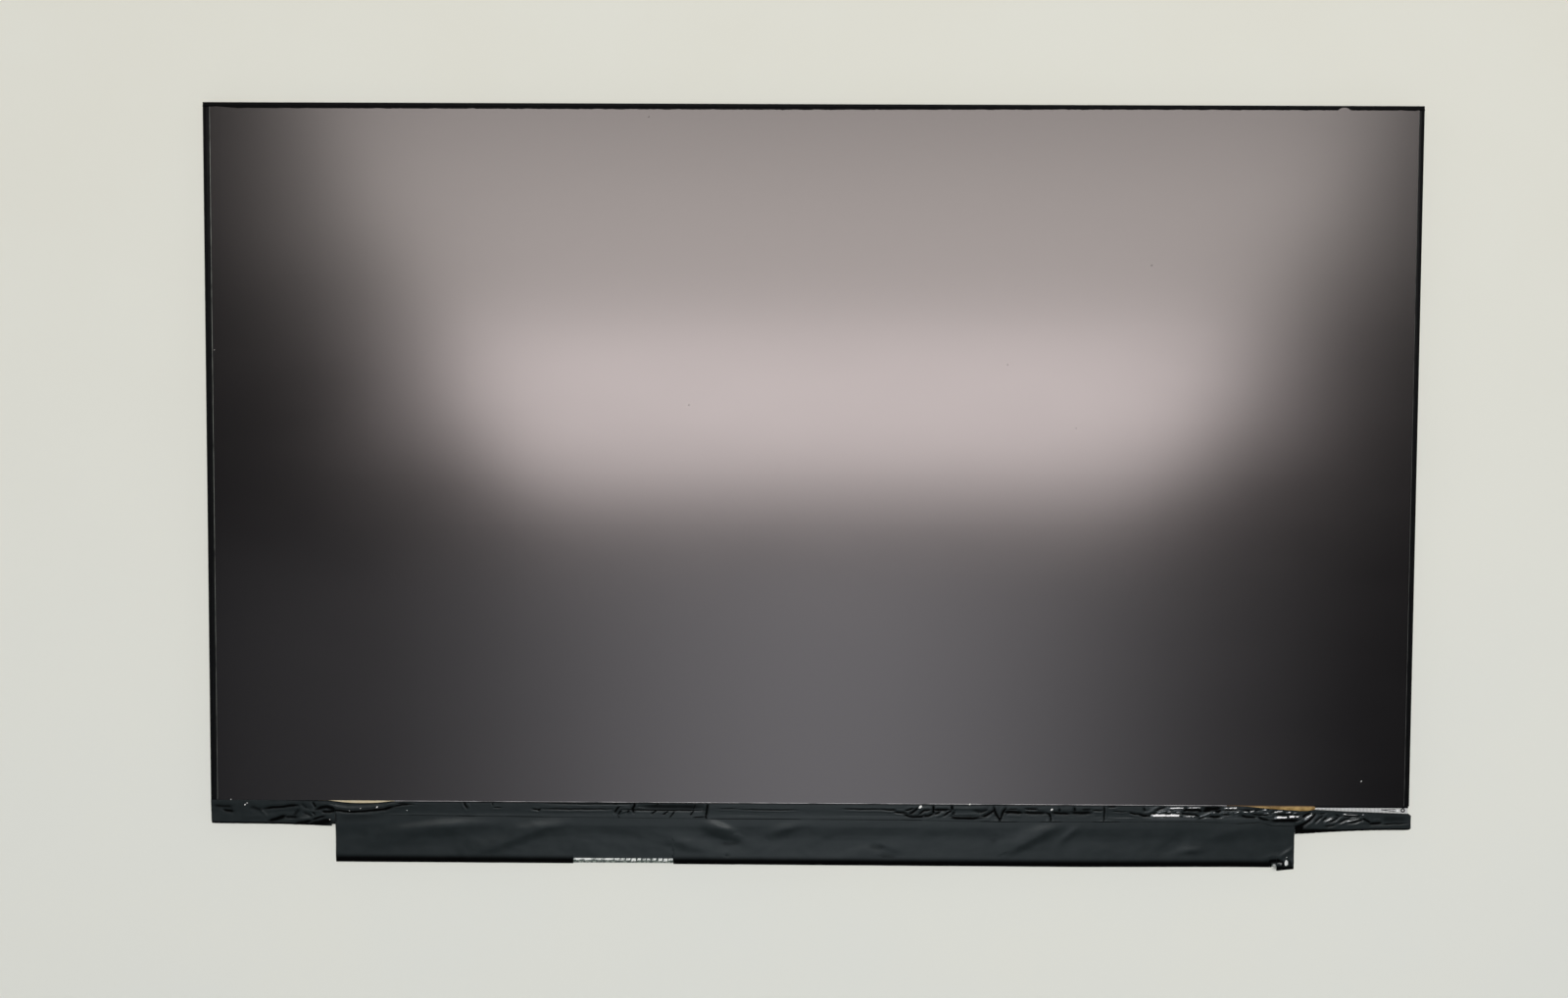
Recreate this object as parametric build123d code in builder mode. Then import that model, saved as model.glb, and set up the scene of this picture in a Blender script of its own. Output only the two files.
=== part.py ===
from build123d import *
import os

# Laptop screen panel: an edge-lit liquid-crystal module, lying on its back with the screen up.
# X runs across the screen, Y up the screen and Z out of the glass, in millimetres. The origin is the
# centre of the body's outline, on the rear face of the back cover, which the panel rests on.

# Body outline, over its tapes
body_width = 315.8
body_height = 188.6
tape_thickness = 0.1
tape_fold = 0.1

# Ends of the lower edge that the circuit board leaves free
chin_left = 32.8
chin_right = 29.8

# Back cover, a tray folded from aluminium sheet
cover_sheet = 0.3
cover_bend = 0.5
cover_wall_drop = 0.1
cover_corner_gap = 1.5

# Moulded frame inside the cover, and the clips that hold it in the cover's windows
frame_play = 0.05
frame_side_bar = 1.5
frame_top_bar = 1.9
frame_bottom_bar = 3.0
clip_length = 6.0
clip_height = 0.5
clip_depth = 0.2
clip_play = 0.15
clip_count_top = 5
clip_count_side = 3

# Light guide and the sheets on it, each with ears that sit in recesses of the frame's top bar
reflector_thickness = 0.2
light_guide_thickness = 0.5
light_guide_lip = 0.1
light_guide_lip_flat = 1.5
light_guide_lip_slope = 2.0
diffuser_thickness = 0.1
lower_prism_thickness = 0.13
upper_prism_thickness = 0.15
sheet_play = 0.15
sheet_headroom = 0.12
ear_length = 12.0
ear_reach = 0.8
ear_spacing = 180.0

# Light bar: a flex circuit with LEDs under it, and a tail that runs out to the circuit board
led_count = 42
led_length = 3.8
led_depth = 1.0
led_back_gap = 1.6
led_light_gap = 0.1
flex_thickness = 0.1
flex_edge_gap = 0.1
flex_lap = 1.2
tail_width = 12.0
tail_from_right = 22.0
tail_lap = 2.6
tail_play = 0.3

# Glass cell, its polarizers and the tape that seats it on the frame
rim_tape_thickness = 0.1
rim_tape_inset = 0.4
rim_tape_lap = 0.9
rear_polarizer_thickness = 0.13
rear_polarizer_margin = 0.8
array_glass_thickness = 0.3
array_glass_chin_gap = 1.9
glass_ledge = 3.95
filter_glass_thickness = 0.3
cell_play = 0.05
front_polarizer_thickness = 0.17
polarizer_margin_left = 1.85
polarizer_margin_right = 1.4
polarizer_margin_top = 1.1
polarizer_ledge_margin = 0.55

# Tapes folded over the rim of the body
edge_tape_flange = 0.65
edge_tape_hem = 0.4

# Driver films between the glass and the circuit board, with a chip under each
film_count = 4
film_thickness = 0.08
film_glass_width = 40.0
film_board_width = 34.0
film_end_margin = 2.0
film_glass_gap = 0.15
film_slope = 0.85
film_board_lap = 1.5
driver_chip_length = 22.0
driver_chip_width = 1.1
driver_chip_height = 0.3

# Amber strip over the bonds of the driver films
bond_strip_thickness = 0.06
bond_strip_overhang = 4.2
bond_strip_edge_gap = 0.05
bond_strip_slope = 1.1
bond_strip_foot_gap = 0.75
bond_strip_corner = 0.6

# Chin tape: the strip over the glass ledge, short of the polarizer at two places
chin_gap_center_from_left = 39.4
chin_gap_length = 17.0
chin_gap_depth = 0.95
chin_wedge_from_right = 48.0
chin_wedge_length = 23.0
chin_wedge_depth = 1.7
chin_pinch_left = 0.5
chin_pinch_right = 1.2
chin_pinch_gap = 1.0

# Circuit board along the lower edge
board_gap = 0.35
board_height = 9.7
board_thickness = 0.6
board_corner = 0.8
tooling_hole_diameter = 1.1
tooling_hole_inset_x = 1.9
tooling_hole_inset_y = 1.0

# Components on the board's rear: the power group is placed from the board's left end, the timing
# controller from the receptacle and the backlight driver from the light bar's tail
controller_size = 5.0
controller_height = 0.85
controller_from_connector = 27.0
memory_length = 3.0
memory_width = 2.0
memory_height = 0.6
memory_gap = 2.5
power_chip_size = 4.0
power_chip_height = 0.75
power_chip_from_left = 30.0
backlight_chip_size = 3.0
backlight_chip_height = 0.75
backlight_chip_from_tail = 14.0
inductor_size = 3.0
inductor_height = 0.95
inductor_gap = 1.5
inductor_corner = 0.4
passive_length = 1.0
passive_width = 0.5
capacitor_height = 0.5
resistor_height = 0.3
passive_cap = 0.25
passive_cap_step = 0.02
passive_pitch = 1.4
passive_rows_gap = 1.2
capacitor_columns = 4
resistor_columns = 6

# Receptacle for the signal cable, at the board's lower edge
contact_count = 30
contact_pitch = 0.5
contact_width = 0.2
contact_thickness = 0.12
contact_setback = 0.5
contact_foot = 0.5
contact_bend_gap = 0.2
connector_from_left = 76.1
connector_setback = 0.15
connector_depth = 3.6
connector_height = 0.8
connector_floor = 0.3
connector_cheek = 1.5
connector_back = 1.0
shell_sheet = 0.15
shell_foot = 1.0
shell_window_length = 2.4
shell_window_width = 1.2
shell_window_corner = 0.4

# Rear film, a pan formed over the components
rear_film_thickness = 0.1
rear_film_play = 0.05
rear_film_flange = 1.0
rear_film_end_margin = 6.5

# Board tape, folded round the board's lower edge, cut out at the receptacle and torn at one corner
board_tape_butt = 0.05
board_tape_play = 0.1
board_tape_lap = 0.9
notch_length = 26.5
notch_depth = 1.1
torn_length = 5.8
torn_reach = 0.95
torn_rise = 0.5
torn_hole_width = 1.0
torn_hole_height = 1.8

os.makedirs("parts", exist_ok=True)


def save(piece, name):
    """Label a finished piece and write its file."""
    piece.part.label = name
    export_step(piece.part, f"parts/{name}.step")


def drape(under, thickness):
    """The section of a thin sheet that lies on the given points, with its thickness measured up."""
    return under + [(y, z + thickness) for y, z in reversed(under)]


# Levels of the stack, from the cover's floor to the screen's surface
light_guide_z = cover_sheet + reflector_thickness
diffuser_z = light_guide_z + light_guide_thickness
lower_prism_z = diffuser_z + diffuser_thickness
upper_prism_z = lower_prism_z + lower_prism_thickness
frame_top_z = upper_prism_z + upper_prism_thickness + sheet_headroom
rear_polarizer_z = frame_top_z + rim_tape_thickness
array_glass_z = rear_polarizer_z + rear_polarizer_thickness
filter_glass_z = array_glass_z + array_glass_thickness
front_polarizer_z = filter_glass_z + filter_glass_thickness
front_z = front_polarizer_z + front_polarizer_thickness
flex_z = diffuser_z + light_guide_lip
board_rear_z = flex_z + flex_thickness
board_front_z = board_rear_z + board_thickness

# Edges of the body and of the board, seen from the front
half_width = body_width / 2
half_height = body_height / 2
cover_width = body_width - 2 * tape_thickness
cover_height = body_height - 2 * tape_thickness
cover_wall_top = frame_top_z - cover_wall_drop
frame_width = cover_width - 2 * (cover_sheet + frame_play)
frame_height = cover_height - 2 * (cover_sheet + frame_play)
opening_width = frame_width - 2 * frame_side_bar
opening_top = frame_height / 2 - frame_top_bar
opening_bottom = -frame_height / 2 + frame_bottom_bar
board_left = -half_width + chin_left
board_right = half_width - chin_right
board_length = board_right - board_left
board_x = (board_left + board_right) / 2
board_top = -half_height - board_gap
board_bottom = board_top - board_height
tail_x = board_right - tail_from_right
connector_x = board_left + connector_from_left

# Hollow of the rear film's pan, which the components hang in
pan_depth = inductor_height + rear_film_play + rear_film_thickness
pan_bottom = board_bottom + rear_film_flange
pan_wall = 2**0.5 * rear_film_thickness
pan_hollow = pan_depth - rear_film_thickness
hollow_bottom = pan_bottom + pan_wall
pan_floor_bottom = hollow_bottom + pan_hollow

# Back cover: a shallow tray with folded walls, open at the corners, with windows for the frame's clips
clip_z = (cover_sheet + cover_wall_top) / 2
clip_top_pitch = cover_width / clip_count_top
clip_side_pitch = cover_height / clip_count_side
window_length = clip_length + 2 * clip_play
window_height = clip_height + 2 * clip_play

with BuildPart() as back_cover:
    with BuildSketch():
        Rectangle(cover_width, cover_height)
    extrude(amount=cover_wall_top)
    fillet(back_cover.faces().sort_by(Axis.Z)[0].edges(), radius=cover_bend)
    offset(amount=-cover_sheet, openings=back_cover.faces().sort_by(Axis.Z)[-1])
    with BuildSketch(Plane.XY.offset(cover_bend)):
        with GridLocations(cover_width, cover_height, 2, 2):
            Rectangle(2 * cover_corner_gap, 2 * cover_corner_gap)
    extrude(amount=cover_wall_top, mode=Mode.SUBTRACT)
    with BuildSketch(Plane.XZ.offset(-cover_height / 2)):
        with Locations((0, clip_z)):
            with GridLocations(clip_top_pitch, 0, clip_count_top, 1):
                Rectangle(window_length, window_height)
    extrude(amount=cover_sheet, mode=Mode.SUBTRACT)
    with BuildSketch(Plane.YZ.offset(-cover_width / 2)):
        with Locations((0, clip_z)):
            with GridLocations(clip_side_pitch, 0, clip_count_side, 1):
                Rectangle(window_length, window_height)
    extrude(amount=cover_width, mode=Mode.SUBTRACT)
    with BuildSketch(Plane.XZ.offset(cover_height / 2)):
        with Locations((tail_x, (flex_z - tail_play + cover_wall_top) / 2)):
            Rectangle(tail_width + 2 * tail_play, cover_wall_top - flex_z + tail_play)
    extrude(amount=-cover_sheet, mode=Mode.SUBTRACT)
save(back_cover, "back_cover")

# Moulded frame: a ring that holds the light guide and sheets and carries the glass
frame_foot = cover_bend - cover_sheet + frame_play
recess_depth = ear_reach + sheet_play
clip_reach = frame_play + clip_depth

with BuildPart() as moulded_frame:
    with BuildSketch(Plane.XY.offset(cover_sheet)):
        Rectangle(frame_width, frame_height)
    extrude(amount=frame_top_z - cover_sheet)
    chamfer(moulded_frame.faces().sort_by(Axis.Z)[0].edges(), length=frame_foot)
    with BuildSketch(Plane.XY.offset(cover_sheet)):
        with Locations((0, (opening_top + opening_bottom) / 2)):
            Rectangle(opening_width, opening_top - opening_bottom)
    extrude(amount=frame_top_z, mode=Mode.SUBTRACT)
    with BuildSketch(Plane.XY.offset(diffuser_z)):
        with Locations((0, opening_top + recess_depth / 2)):
            with GridLocations(ear_spacing, 0, 2, 1):
                Rectangle(ear_length + 2 * sheet_play, recess_depth)
    extrude(amount=frame_top_z, mode=Mode.SUBTRACT)
    with BuildSketch(Plane.XY.offset(flex_z - tail_play)):
        with Locations((tail_x, opening_bottom - frame_bottom_bar / 2)):
            Rectangle(tail_width + 2 * tail_play, frame_bottom_bar)
    extrude(amount=frame_top_z, mode=Mode.SUBTRACT)
    with BuildSketch(Plane.XZ.offset(-frame_height / 2)):
        with Locations((0, clip_z)):
            with GridLocations(clip_top_pitch, 0, clip_count_top, 1):
                Rectangle(clip_length, clip_height)
    extrude(amount=-clip_reach)
    with BuildSketch(Plane.YZ.offset(frame_width / 2), Plane.YZ.offset(-frame_width / 2 - clip_reach)):
        with Locations((0, clip_z)):
            with GridLocations(clip_side_pitch, 0, clip_count_side, 1):
                Rectangle(clip_length, clip_height)
    extrude(amount=clip_reach)
save(moulded_frame, "moulded_frame")

# Reflector: a white sheet on the cover's floor, under the light guide and the LEDs
sheet_width = opening_width - 2 * sheet_play
sheet_top = opening_top - sheet_play
reflector_bottom = opening_bottom + sheet_play

with BuildPart() as reflector_sheet:
    with BuildSketch(Plane.XY.offset(cover_sheet)):
        with Locations((0, (sheet_top + reflector_bottom) / 2)):
            Rectangle(sheet_width, sheet_top - reflector_bottom)
    extrude(amount=reflector_thickness)
save(reflector_sheet, "reflector_sheet")

# Light guide: a thin acrylic plate with a thicker lip at its lit edge, as tall as the LEDs
led_bottom = opening_bottom + led_back_gap
light_guide_bottom = led_bottom + led_depth + led_light_gap
lip_end = light_guide_bottom + light_guide_lip_flat
lip_foot = lip_end + light_guide_lip_slope

with BuildPart() as light_guide_plate:
    with BuildSketch(Plane.YZ.offset(-sheet_width / 2)):
        with BuildLine():
            Polyline(
                (light_guide_bottom, light_guide_z),
                (sheet_top, light_guide_z),
                (sheet_top, diffuser_z),
                (lip_foot, diffuser_z),
                (lip_end, flex_z),
                (light_guide_bottom, flex_z),
                close=True,
            )
        make_face()
    extrude(amount=sheet_width)
save(light_guide_plate, "light_guide_plate")

# Diffuser and two prism sheets, cut alike, with two ears at the top edge
sheet_bottom = lip_foot + sheet_play
sheet_levels = {
    "diffuser_sheet": (diffuser_z, diffuser_thickness),
    "lower_prism_sheet": (lower_prism_z, lower_prism_thickness),
    "upper_prism_sheet": (upper_prism_z, upper_prism_thickness),
}

for sheet_name, (sheet_z, sheet_thickness) in sheet_levels.items():
    with BuildPart() as optical_sheet:
        with BuildSketch(Plane.XY.offset(sheet_z)):
            with Locations((0, (sheet_top + sheet_bottom) / 2)):
                Rectangle(sheet_width, sheet_top - sheet_bottom)
            with Locations((0, sheet_top)):
                with GridLocations(ear_spacing, 0, 2, 1):
                    Rectangle(ear_length, 2 * ear_reach)
        extrude(amount=sheet_thickness)
    save(optical_sheet, sheet_name)

# Light bar: the flex lies on the light guide's lip with its LEDs below, and its tail leaves the body
flex_top = light_guide_bottom + flex_lap
flex_bottom = opening_bottom + flex_edge_gap
tail_end = board_top - tail_lap
led_pitch = sheet_width / led_count

with BuildPart() as light_bar_flex:
    with BuildSketch(Plane.XY.offset(flex_z)):
        with Locations((0, (flex_top + flex_bottom) / 2)):
            Rectangle(sheet_width, flex_top - flex_bottom)
        with Locations((tail_x, (flex_bottom + tail_end) / 2)):
            Rectangle(tail_width, flex_bottom - tail_end)
    extrude(amount=flex_thickness)
save(light_bar_flex, "light_bar_flex")

with BuildPart() as backlight_leds:
    with BuildSketch(Plane.XY.offset(light_guide_z)):
        with Locations((0, led_bottom + led_depth / 2)):
            with GridLocations(led_pitch, 0, led_count, 1):
                Rectangle(led_length, led_depth)
    extrude(amount=flex_z - light_guide_z)
save(backlight_leds, "backlight_leds")

# Rim tape: a black frame of double-sided tape between the moulded frame and the glass cell
rim_width = frame_width - 2 * rim_tape_inset
rim_top = frame_height / 2 - rim_tape_inset
rim_bottom = -frame_height / 2 + rim_tape_inset + array_glass_chin_gap
window_top = opening_top - rim_tape_lap
window_bottom = sheet_bottom + rim_tape_lap

with BuildPart() as rim_tape:
    with BuildSketch(Plane.XY.offset(frame_top_z)):
        with Locations((0, (rim_top + rim_bottom) / 2)):
            Rectangle(rim_width, rim_top - rim_bottom)
        with Locations((0, (window_top + window_bottom) / 2)):
            Rectangle(opening_width - 2 * rim_tape_lap, window_top - window_bottom, mode=Mode.SUBTRACT)
    extrude(amount=rim_tape_thickness)
save(rim_tape, "rim_tape")

# Glass cell: the array glass is longer at the lower edge, which leaves a ledge for the driver films
cell_width = body_width - 2 * (tape_thickness + cell_play)
cell_top = half_height - tape_thickness - cell_play
array_glass_bottom = -half_height + array_glass_chin_gap
filter_glass_bottom = array_glass_bottom + glass_ledge

with BuildPart() as rear_polarizer:
    with BuildSketch(Plane.XY.offset(rear_polarizer_z)):
        with Locations((0, (cell_top + array_glass_bottom) / 2)):
            Rectangle(
                cell_width - 2 * rear_polarizer_margin,
                cell_top - array_glass_bottom - 2 * rear_polarizer_margin,
            )
    extrude(amount=rear_polarizer_thickness)
save(rear_polarizer, "rear_polarizer")

with BuildPart() as array_glass:
    with BuildSketch(Plane.XY.offset(array_glass_z)):
        with Locations((0, (cell_top + array_glass_bottom) / 2)):
            Rectangle(cell_width, cell_top - array_glass_bottom)
    extrude(amount=array_glass_thickness)
save(array_glass, "array_glass")

with BuildPart() as color_filter_glass:
    with BuildSketch(Plane.XY.offset(filter_glass_z)):
        with Locations((0, (cell_top + filter_glass_bottom) / 2)):
            Rectangle(cell_width, cell_top - filter_glass_bottom)
    extrude(amount=filter_glass_thickness)
save(color_filter_glass, "color_filter_glass")

# Front polarizer: the matt film that is the screen's surface, cut short of the glass all round
polarizer_left = -half_width + polarizer_margin_left
polarizer_right = half_width - polarizer_margin_right
polarizer_top = half_height - polarizer_margin_top
polarizer_bottom = filter_glass_bottom + polarizer_ledge_margin

with BuildPart() as front_polarizer:
    with BuildSketch(Plane.XY.offset(front_polarizer_z)):
        with Locations(((polarizer_left + polarizer_right) / 2, (polarizer_top + polarizer_bottom) / 2)):
            Rectangle(polarizer_right - polarizer_left, polarizer_top - polarizer_bottom)
    extrude(amount=front_polarizer_thickness)
save(front_polarizer, "front_polarizer")

# Edge tapes: black tape with a flange on the glass and a leg down the cover's wall
top_tape_bottom = half_height - edge_tape_flange
edge_tape_z = front_polarizer_z + tape_thickness

with BuildPart() as top_edge_tape:
    with BuildSketch(Plane.YZ.offset(-half_width)):
        with BuildLine():
            Polyline(
                (top_tape_bottom, front_polarizer_z),
                (top_tape_bottom, edge_tape_z),
                (half_height, edge_tape_z),
                (half_height, edge_tape_hem),
                (half_height - tape_thickness, edge_tape_hem),
                (half_height - tape_thickness, front_polarizer_z),
                close=True,
            )
        make_face()
    extrude(amount=body_width)
save(top_edge_tape, "top_edge_tape")

for tape_name, side in (("left_edge_tape", -1), ("right_edge_tape", 1)):
    with BuildPart() as side_edge_tape:
        with BuildSketch(Plane.XZ.offset(-polarizer_bottom)):
            with BuildLine():
                Polyline(
                    (side * (half_width - edge_tape_flange), front_polarizer_z),
                    (side * (half_width - edge_tape_flange), edge_tape_z),
                    (side * half_width, edge_tape_z),
                    (side * half_width, edge_tape_hem),
                    (side * (half_width - tape_thickness), edge_tape_hem),
                    (side * (half_width - tape_thickness), front_polarizer_z),
                    close=True,
                )
            make_face()
        extrude(amount=polarizer_bottom - top_tape_bottom)
    save(side_edge_tape, tape_name)

# Driver films: flex circuits bonded on the glass ledge that step down to the board's front face
film_pitch = (board_length - 2 * film_end_margin - film_board_width) / (film_count - 1)
film_top = filter_glass_bottom - film_glass_gap
film_board_start = board_top - film_slope
film_bottom = film_board_start - film_board_lap
film_face = [
    (film_top, filter_glass_z),
    (-half_height, filter_glass_z),
    (film_board_start, board_front_z),
    (film_bottom, board_front_z),
]

for film_index in range(film_count):
    film_x = board_x + (film_index - (film_count - 1) / 2) * film_pitch
    with BuildPart() as driver_film:
        with BuildSketch(Plane.YZ.offset(film_x - film_glass_width / 2)):
            with BuildLine():
                Polyline(*drape(film_face, film_thickness), close=True)
            make_face()
        extrude(amount=film_glass_width)
        with BuildSketch():
            with BuildLine():
                Polyline(
                    (film_x - film_glass_width / 2, film_top),
                    (film_x + film_glass_width / 2, film_top),
                    (film_x + film_glass_width / 2, array_glass_bottom),
                    (film_x + film_board_width / 2, film_board_start),
                    (film_x + film_board_width / 2, film_bottom),
                    (film_x - film_board_width / 2, film_bottom),
                    (film_x - film_board_width / 2, film_board_start),
                    (film_x - film_glass_width / 2, array_glass_bottom),
                    close=True,
                )
            make_face()
        extrude(amount=front_z, mode=Mode.INTERSECT)
    save(driver_film, f"driver_film_{film_index + 1}")

    chip_y = (array_glass_bottom - half_height) / 2
    with BuildPart() as driver_chip:
        with BuildSketch(Plane.XY.offset(filter_glass_z - driver_chip_height)):
            with Locations((film_x, chip_y)):
                Rectangle(driver_chip_length, driver_chip_width)
        extrude(amount=driver_chip_height)
    save(driver_chip, f"driver_chip_{film_index + 1}")

# Bond strip: amber polyimide from the glass border down over the film bonds on the ledge
film_top_z = filter_glass_z + film_thickness
strip_top = polarizer_bottom - bond_strip_edge_gap
strip_slope_end = filter_glass_bottom - bond_strip_slope
strip_bottom = array_glass_bottom + bond_strip_foot_gap
strip_length = (film_count - 1) * film_pitch + film_glass_width + 2 * bond_strip_overhang
strip_face = [
    (strip_top, front_polarizer_z),
    (filter_glass_bottom, front_polarizer_z),
    (strip_slope_end, film_top_z),
    (strip_bottom, film_top_z),
]

with BuildPart() as bond_strip:
    with BuildSketch(Plane.YZ.offset(board_x - strip_length / 2)):
        with BuildLine():
            Polyline(*drape(strip_face, bond_strip_thickness), close=True)
        make_face()
    extrude(amount=strip_length)
    with BuildSketch():
        with Locations((board_x, (strip_top + strip_bottom) / 2)):
            RectangleRounded(strip_length, strip_top - strip_bottom, bond_strip_corner)
    extrude(amount=front_z, mode=Mode.INTERSECT)
save(bond_strip, "bond_strip")

# Chin tape: lies on the bond strip from the polarizer's edge to the glass's lower edge. Beside the
# board it runs on to the body's lower edge and folds down the cover's bottom and side walls, pinched
# double into a lip that is widest next to the board.
chin_tape_z = front_polarizer_z + bond_strip_thickness
chin_ledge_z = film_top_z + bond_strip_thickness
chin_gap_x = -half_width + chin_gap_center_from_left
wedge_start = half_width - chin_wedge_from_right
wedge_end = wedge_start + chin_wedge_length
wedge_bottom = strip_top - chin_wedge_depth
chin_top_z = chin_ledge_z + tape_thickness
chin_face = [
    (strip_top, chin_tape_z),
    (filter_glass_bottom, chin_tape_z),
    (strip_slope_end, chin_ledge_z),
    (-half_height, chin_ledge_z),
]

with BuildPart() as chin_tape:
    with BuildSketch(Plane.YZ.offset(-half_width)) as chin_section:
        with BuildLine():
            Polyline(*drape(chin_face, tape_thickness), close=True)
        make_face()
        with Locations((-half_height, edge_tape_hem)):
            Rectangle(tape_thickness, chin_top_z - edge_tape_hem, align=(Align.MIN, Align.MIN))
        fillet(chin_section.vertices().group_by(Axis.X)[0].sort_by(Axis.Y)[-1], radius=tape_fold)
    extrude(amount=body_width)
    with BuildSketch():
        with Locations((0, (strip_top - half_height) / 2)):
            Rectangle(body_width, strip_top + half_height)
        with Locations((board_x, (array_glass_bottom - half_height) / 2)):
            Rectangle(board_length, array_glass_bottom + half_height, mode=Mode.SUBTRACT)
        with Locations((chin_gap_x, strip_top)):
            Ellipse(chin_gap_length / 2, chin_gap_depth, mode=Mode.SUBTRACT)
        with BuildLine():
            Polyline(
                (wedge_start, strip_top),
                (half_width, strip_top),
                (half_width, wedge_bottom),
                (wedge_end, wedge_bottom),
                close=True,
            )
        make_face(mode=Mode.SUBTRACT)
    extrude(amount=front_z, mode=Mode.INTERSECT)
    with BuildSketch(Plane.YZ.offset(-half_width), Plane.YZ.offset(half_width - tape_thickness)):
        with BuildLine():
            Polyline(
                (wedge_bottom, chin_top_z),
                (wedge_bottom, edge_tape_hem),
                (-half_height, edge_tape_hem),
                (-half_height, chin_ledge_z),
                (-half_height + tape_thickness, chin_top_z),
                close=True,
            )
        make_face()
    extrude(amount=tape_thickness)
    with BuildSketch(Plane.XY.offset(chin_ledge_z - tape_thickness)):
        with BuildLine():
            Polyline(
                (board_left - chin_pinch_gap, -half_height),
                (board_left - chin_pinch_gap, -half_height - chin_pinch_left),
                (-half_width, -half_height),
                close=True,
            )
        make_face()
        with BuildLine():
            Polyline(
                (board_right + chin_pinch_gap, -half_height),
                (board_right + chin_pinch_gap, -half_height - chin_pinch_right),
                (half_width, -half_height),
                close=True,
            )
        make_face()
    extrude(amount=2 * tape_thickness)
save(chin_tape, "chin_tape")

# Circuit board: a long strip below the body, with tooling holes in its lower corners
with BuildPart() as circuit_board:
    with BuildSketch(Plane.XY.offset(board_rear_z)) as board_outline:
        with Locations((board_x, (board_top + board_bottom) / 2)):
            Rectangle(board_length, board_height)
        chamfer(board_outline.vertices(), length=board_corner)
        with Locations((board_x, board_bottom + tooling_hole_inset_y)):
            with GridLocations(board_length - 2 * tooling_hole_inset_x, 0, 2, 1):
                Circle(tooling_hole_diameter / 2, mode=Mode.SUBTRACT)
    extrude(amount=board_thickness)
save(circuit_board, "circuit_board")

# Chips on the board's rear, hanging from it
component_y = (board_top + pan_floor_bottom) / 2
controller_x = connector_x + controller_from_connector
memory_x = controller_x + controller_size / 2 + memory_gap + memory_length / 2
power_chip_x = board_left + power_chip_from_left
backlight_chip_x = tail_x - backlight_chip_from_tail
chips = {
    "timing_controller": (controller_x, controller_size, controller_size, controller_height),
    "memory_chip": (memory_x, memory_length, memory_width, memory_height),
    "power_controller": (power_chip_x, power_chip_size, power_chip_size, power_chip_height),
    "backlight_driver": (backlight_chip_x, backlight_chip_size, backlight_chip_size, backlight_chip_height),
}

for chip_name, (chip_x, chip_length, chip_width, chip_height) in chips.items():
    with BuildPart() as board_chip:
        with BuildSketch(Plane.XY.offset(board_rear_z - chip_height)):
            with Locations((chip_x, component_y)):
                Rectangle(chip_length, chip_width)
        extrude(amount=chip_height)
    save(board_chip, chip_name)

# Inductors: one on each side of the power controller and one beside the backlight driver
power_inductor_offset = (power_chip_size + inductor_size) / 2 + inductor_gap
backlight_inductor_offset = (backlight_chip_size + inductor_size) / 2 + inductor_gap

with BuildPart() as power_inductors:
    with BuildSketch(Plane.XY.offset(board_rear_z - inductor_height)):
        with Locations(
            (power_chip_x - power_inductor_offset, component_y),
            (power_chip_x + power_inductor_offset, component_y),
            (backlight_chip_x - backlight_inductor_offset, component_y),
        ):
            RectangleRounded(inductor_size, inductor_size, inductor_corner)
    extrude(amount=inductor_height)
save(power_inductors, "power_inductors")

# Capacitors and resistors: blocks of small chips, each with a thicker metal cap at both ends
capacitor_block = (capacitor_columns - 1) * passive_pitch + passive_length
resistor_block = (resistor_columns - 1) * passive_pitch + passive_length
capacitor_centers = (
    controller_x - controller_size / 2 - memory_gap - capacitor_block / 2,
    power_chip_x - power_inductor_offset - inductor_size / 2 - inductor_gap - capacitor_block / 2,
    power_chip_x + power_inductor_offset + inductor_size / 2 + inductor_gap + capacitor_block / 2,
)
resistor_centers = (
    memory_x + memory_length / 2 + memory_gap + resistor_block / 2,
    backlight_chip_x - backlight_inductor_offset - inductor_size / 2 - inductor_gap - resistor_block / 2,
)
passives = {
    "board_capacitors": (capacitor_centers, capacitor_columns, capacitor_height),
    "board_resistors": (resistor_centers, resistor_columns, resistor_height),
}

for passive_name, (block_centers, columns, passive_height) in passives.items():
    with BuildPart() as board_passives:
        with BuildSketch(Plane.XY.offset(board_rear_z - passive_height)):
            with Locations(*[(x, component_y) for x in block_centers]):
                with GridLocations(passive_pitch, passive_rows_gap, columns, 2):
                    Rectangle(passive_length, passive_width)
        extrude(amount=passive_height)
        with BuildSketch(Plane.XY.offset(board_rear_z - passive_height - passive_cap_step)):
            with Locations(*[(x, component_y) for x in block_centers]):
                with GridLocations(passive_pitch, passive_rows_gap, columns, 2):
                    with GridLocations(passive_length - passive_cap, 0, 2, 1):
                        Rectangle(passive_cap, passive_width + 2 * passive_cap_step)
        extrude(amount=passive_height + passive_cap_step)
    save(board_passives, passive_name)

# Receptacle contacts: a row of bent strips that lie on the housing's floor and solder to the board
connector_mouth = board_bottom + connector_setback
connector_rear = connector_mouth + connector_depth
contact_z = board_rear_z - connector_floor
contact_rise = connector_rear + contact_bend_gap
contact_end = contact_rise + contact_thickness + contact_foot
contact_planes = [
    Plane.YZ.offset(connector_x + (index - (contact_count - 1) / 2) * contact_pitch - contact_width / 2)
    for index in range(contact_count)
]

with BuildPart() as connector_contacts:
    with BuildSketch(*contact_planes):
        with BuildLine():
            Polyline(
                (connector_mouth + contact_setback, contact_z),
                (connector_mouth + contact_setback, contact_z - contact_thickness),
                (contact_rise + contact_thickness, contact_z - contact_thickness),
                (contact_rise + contact_thickness, board_rear_z - contact_thickness),
                (contact_end, board_rear_z - contact_thickness),
                (contact_end, board_rear_z),
                (contact_rise, board_rear_z),
                (contact_rise, contact_z),
                close=True,
            )
        make_face()
    extrude(amount=contact_width)
save(connector_contacts, "connector_contacts")

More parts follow.
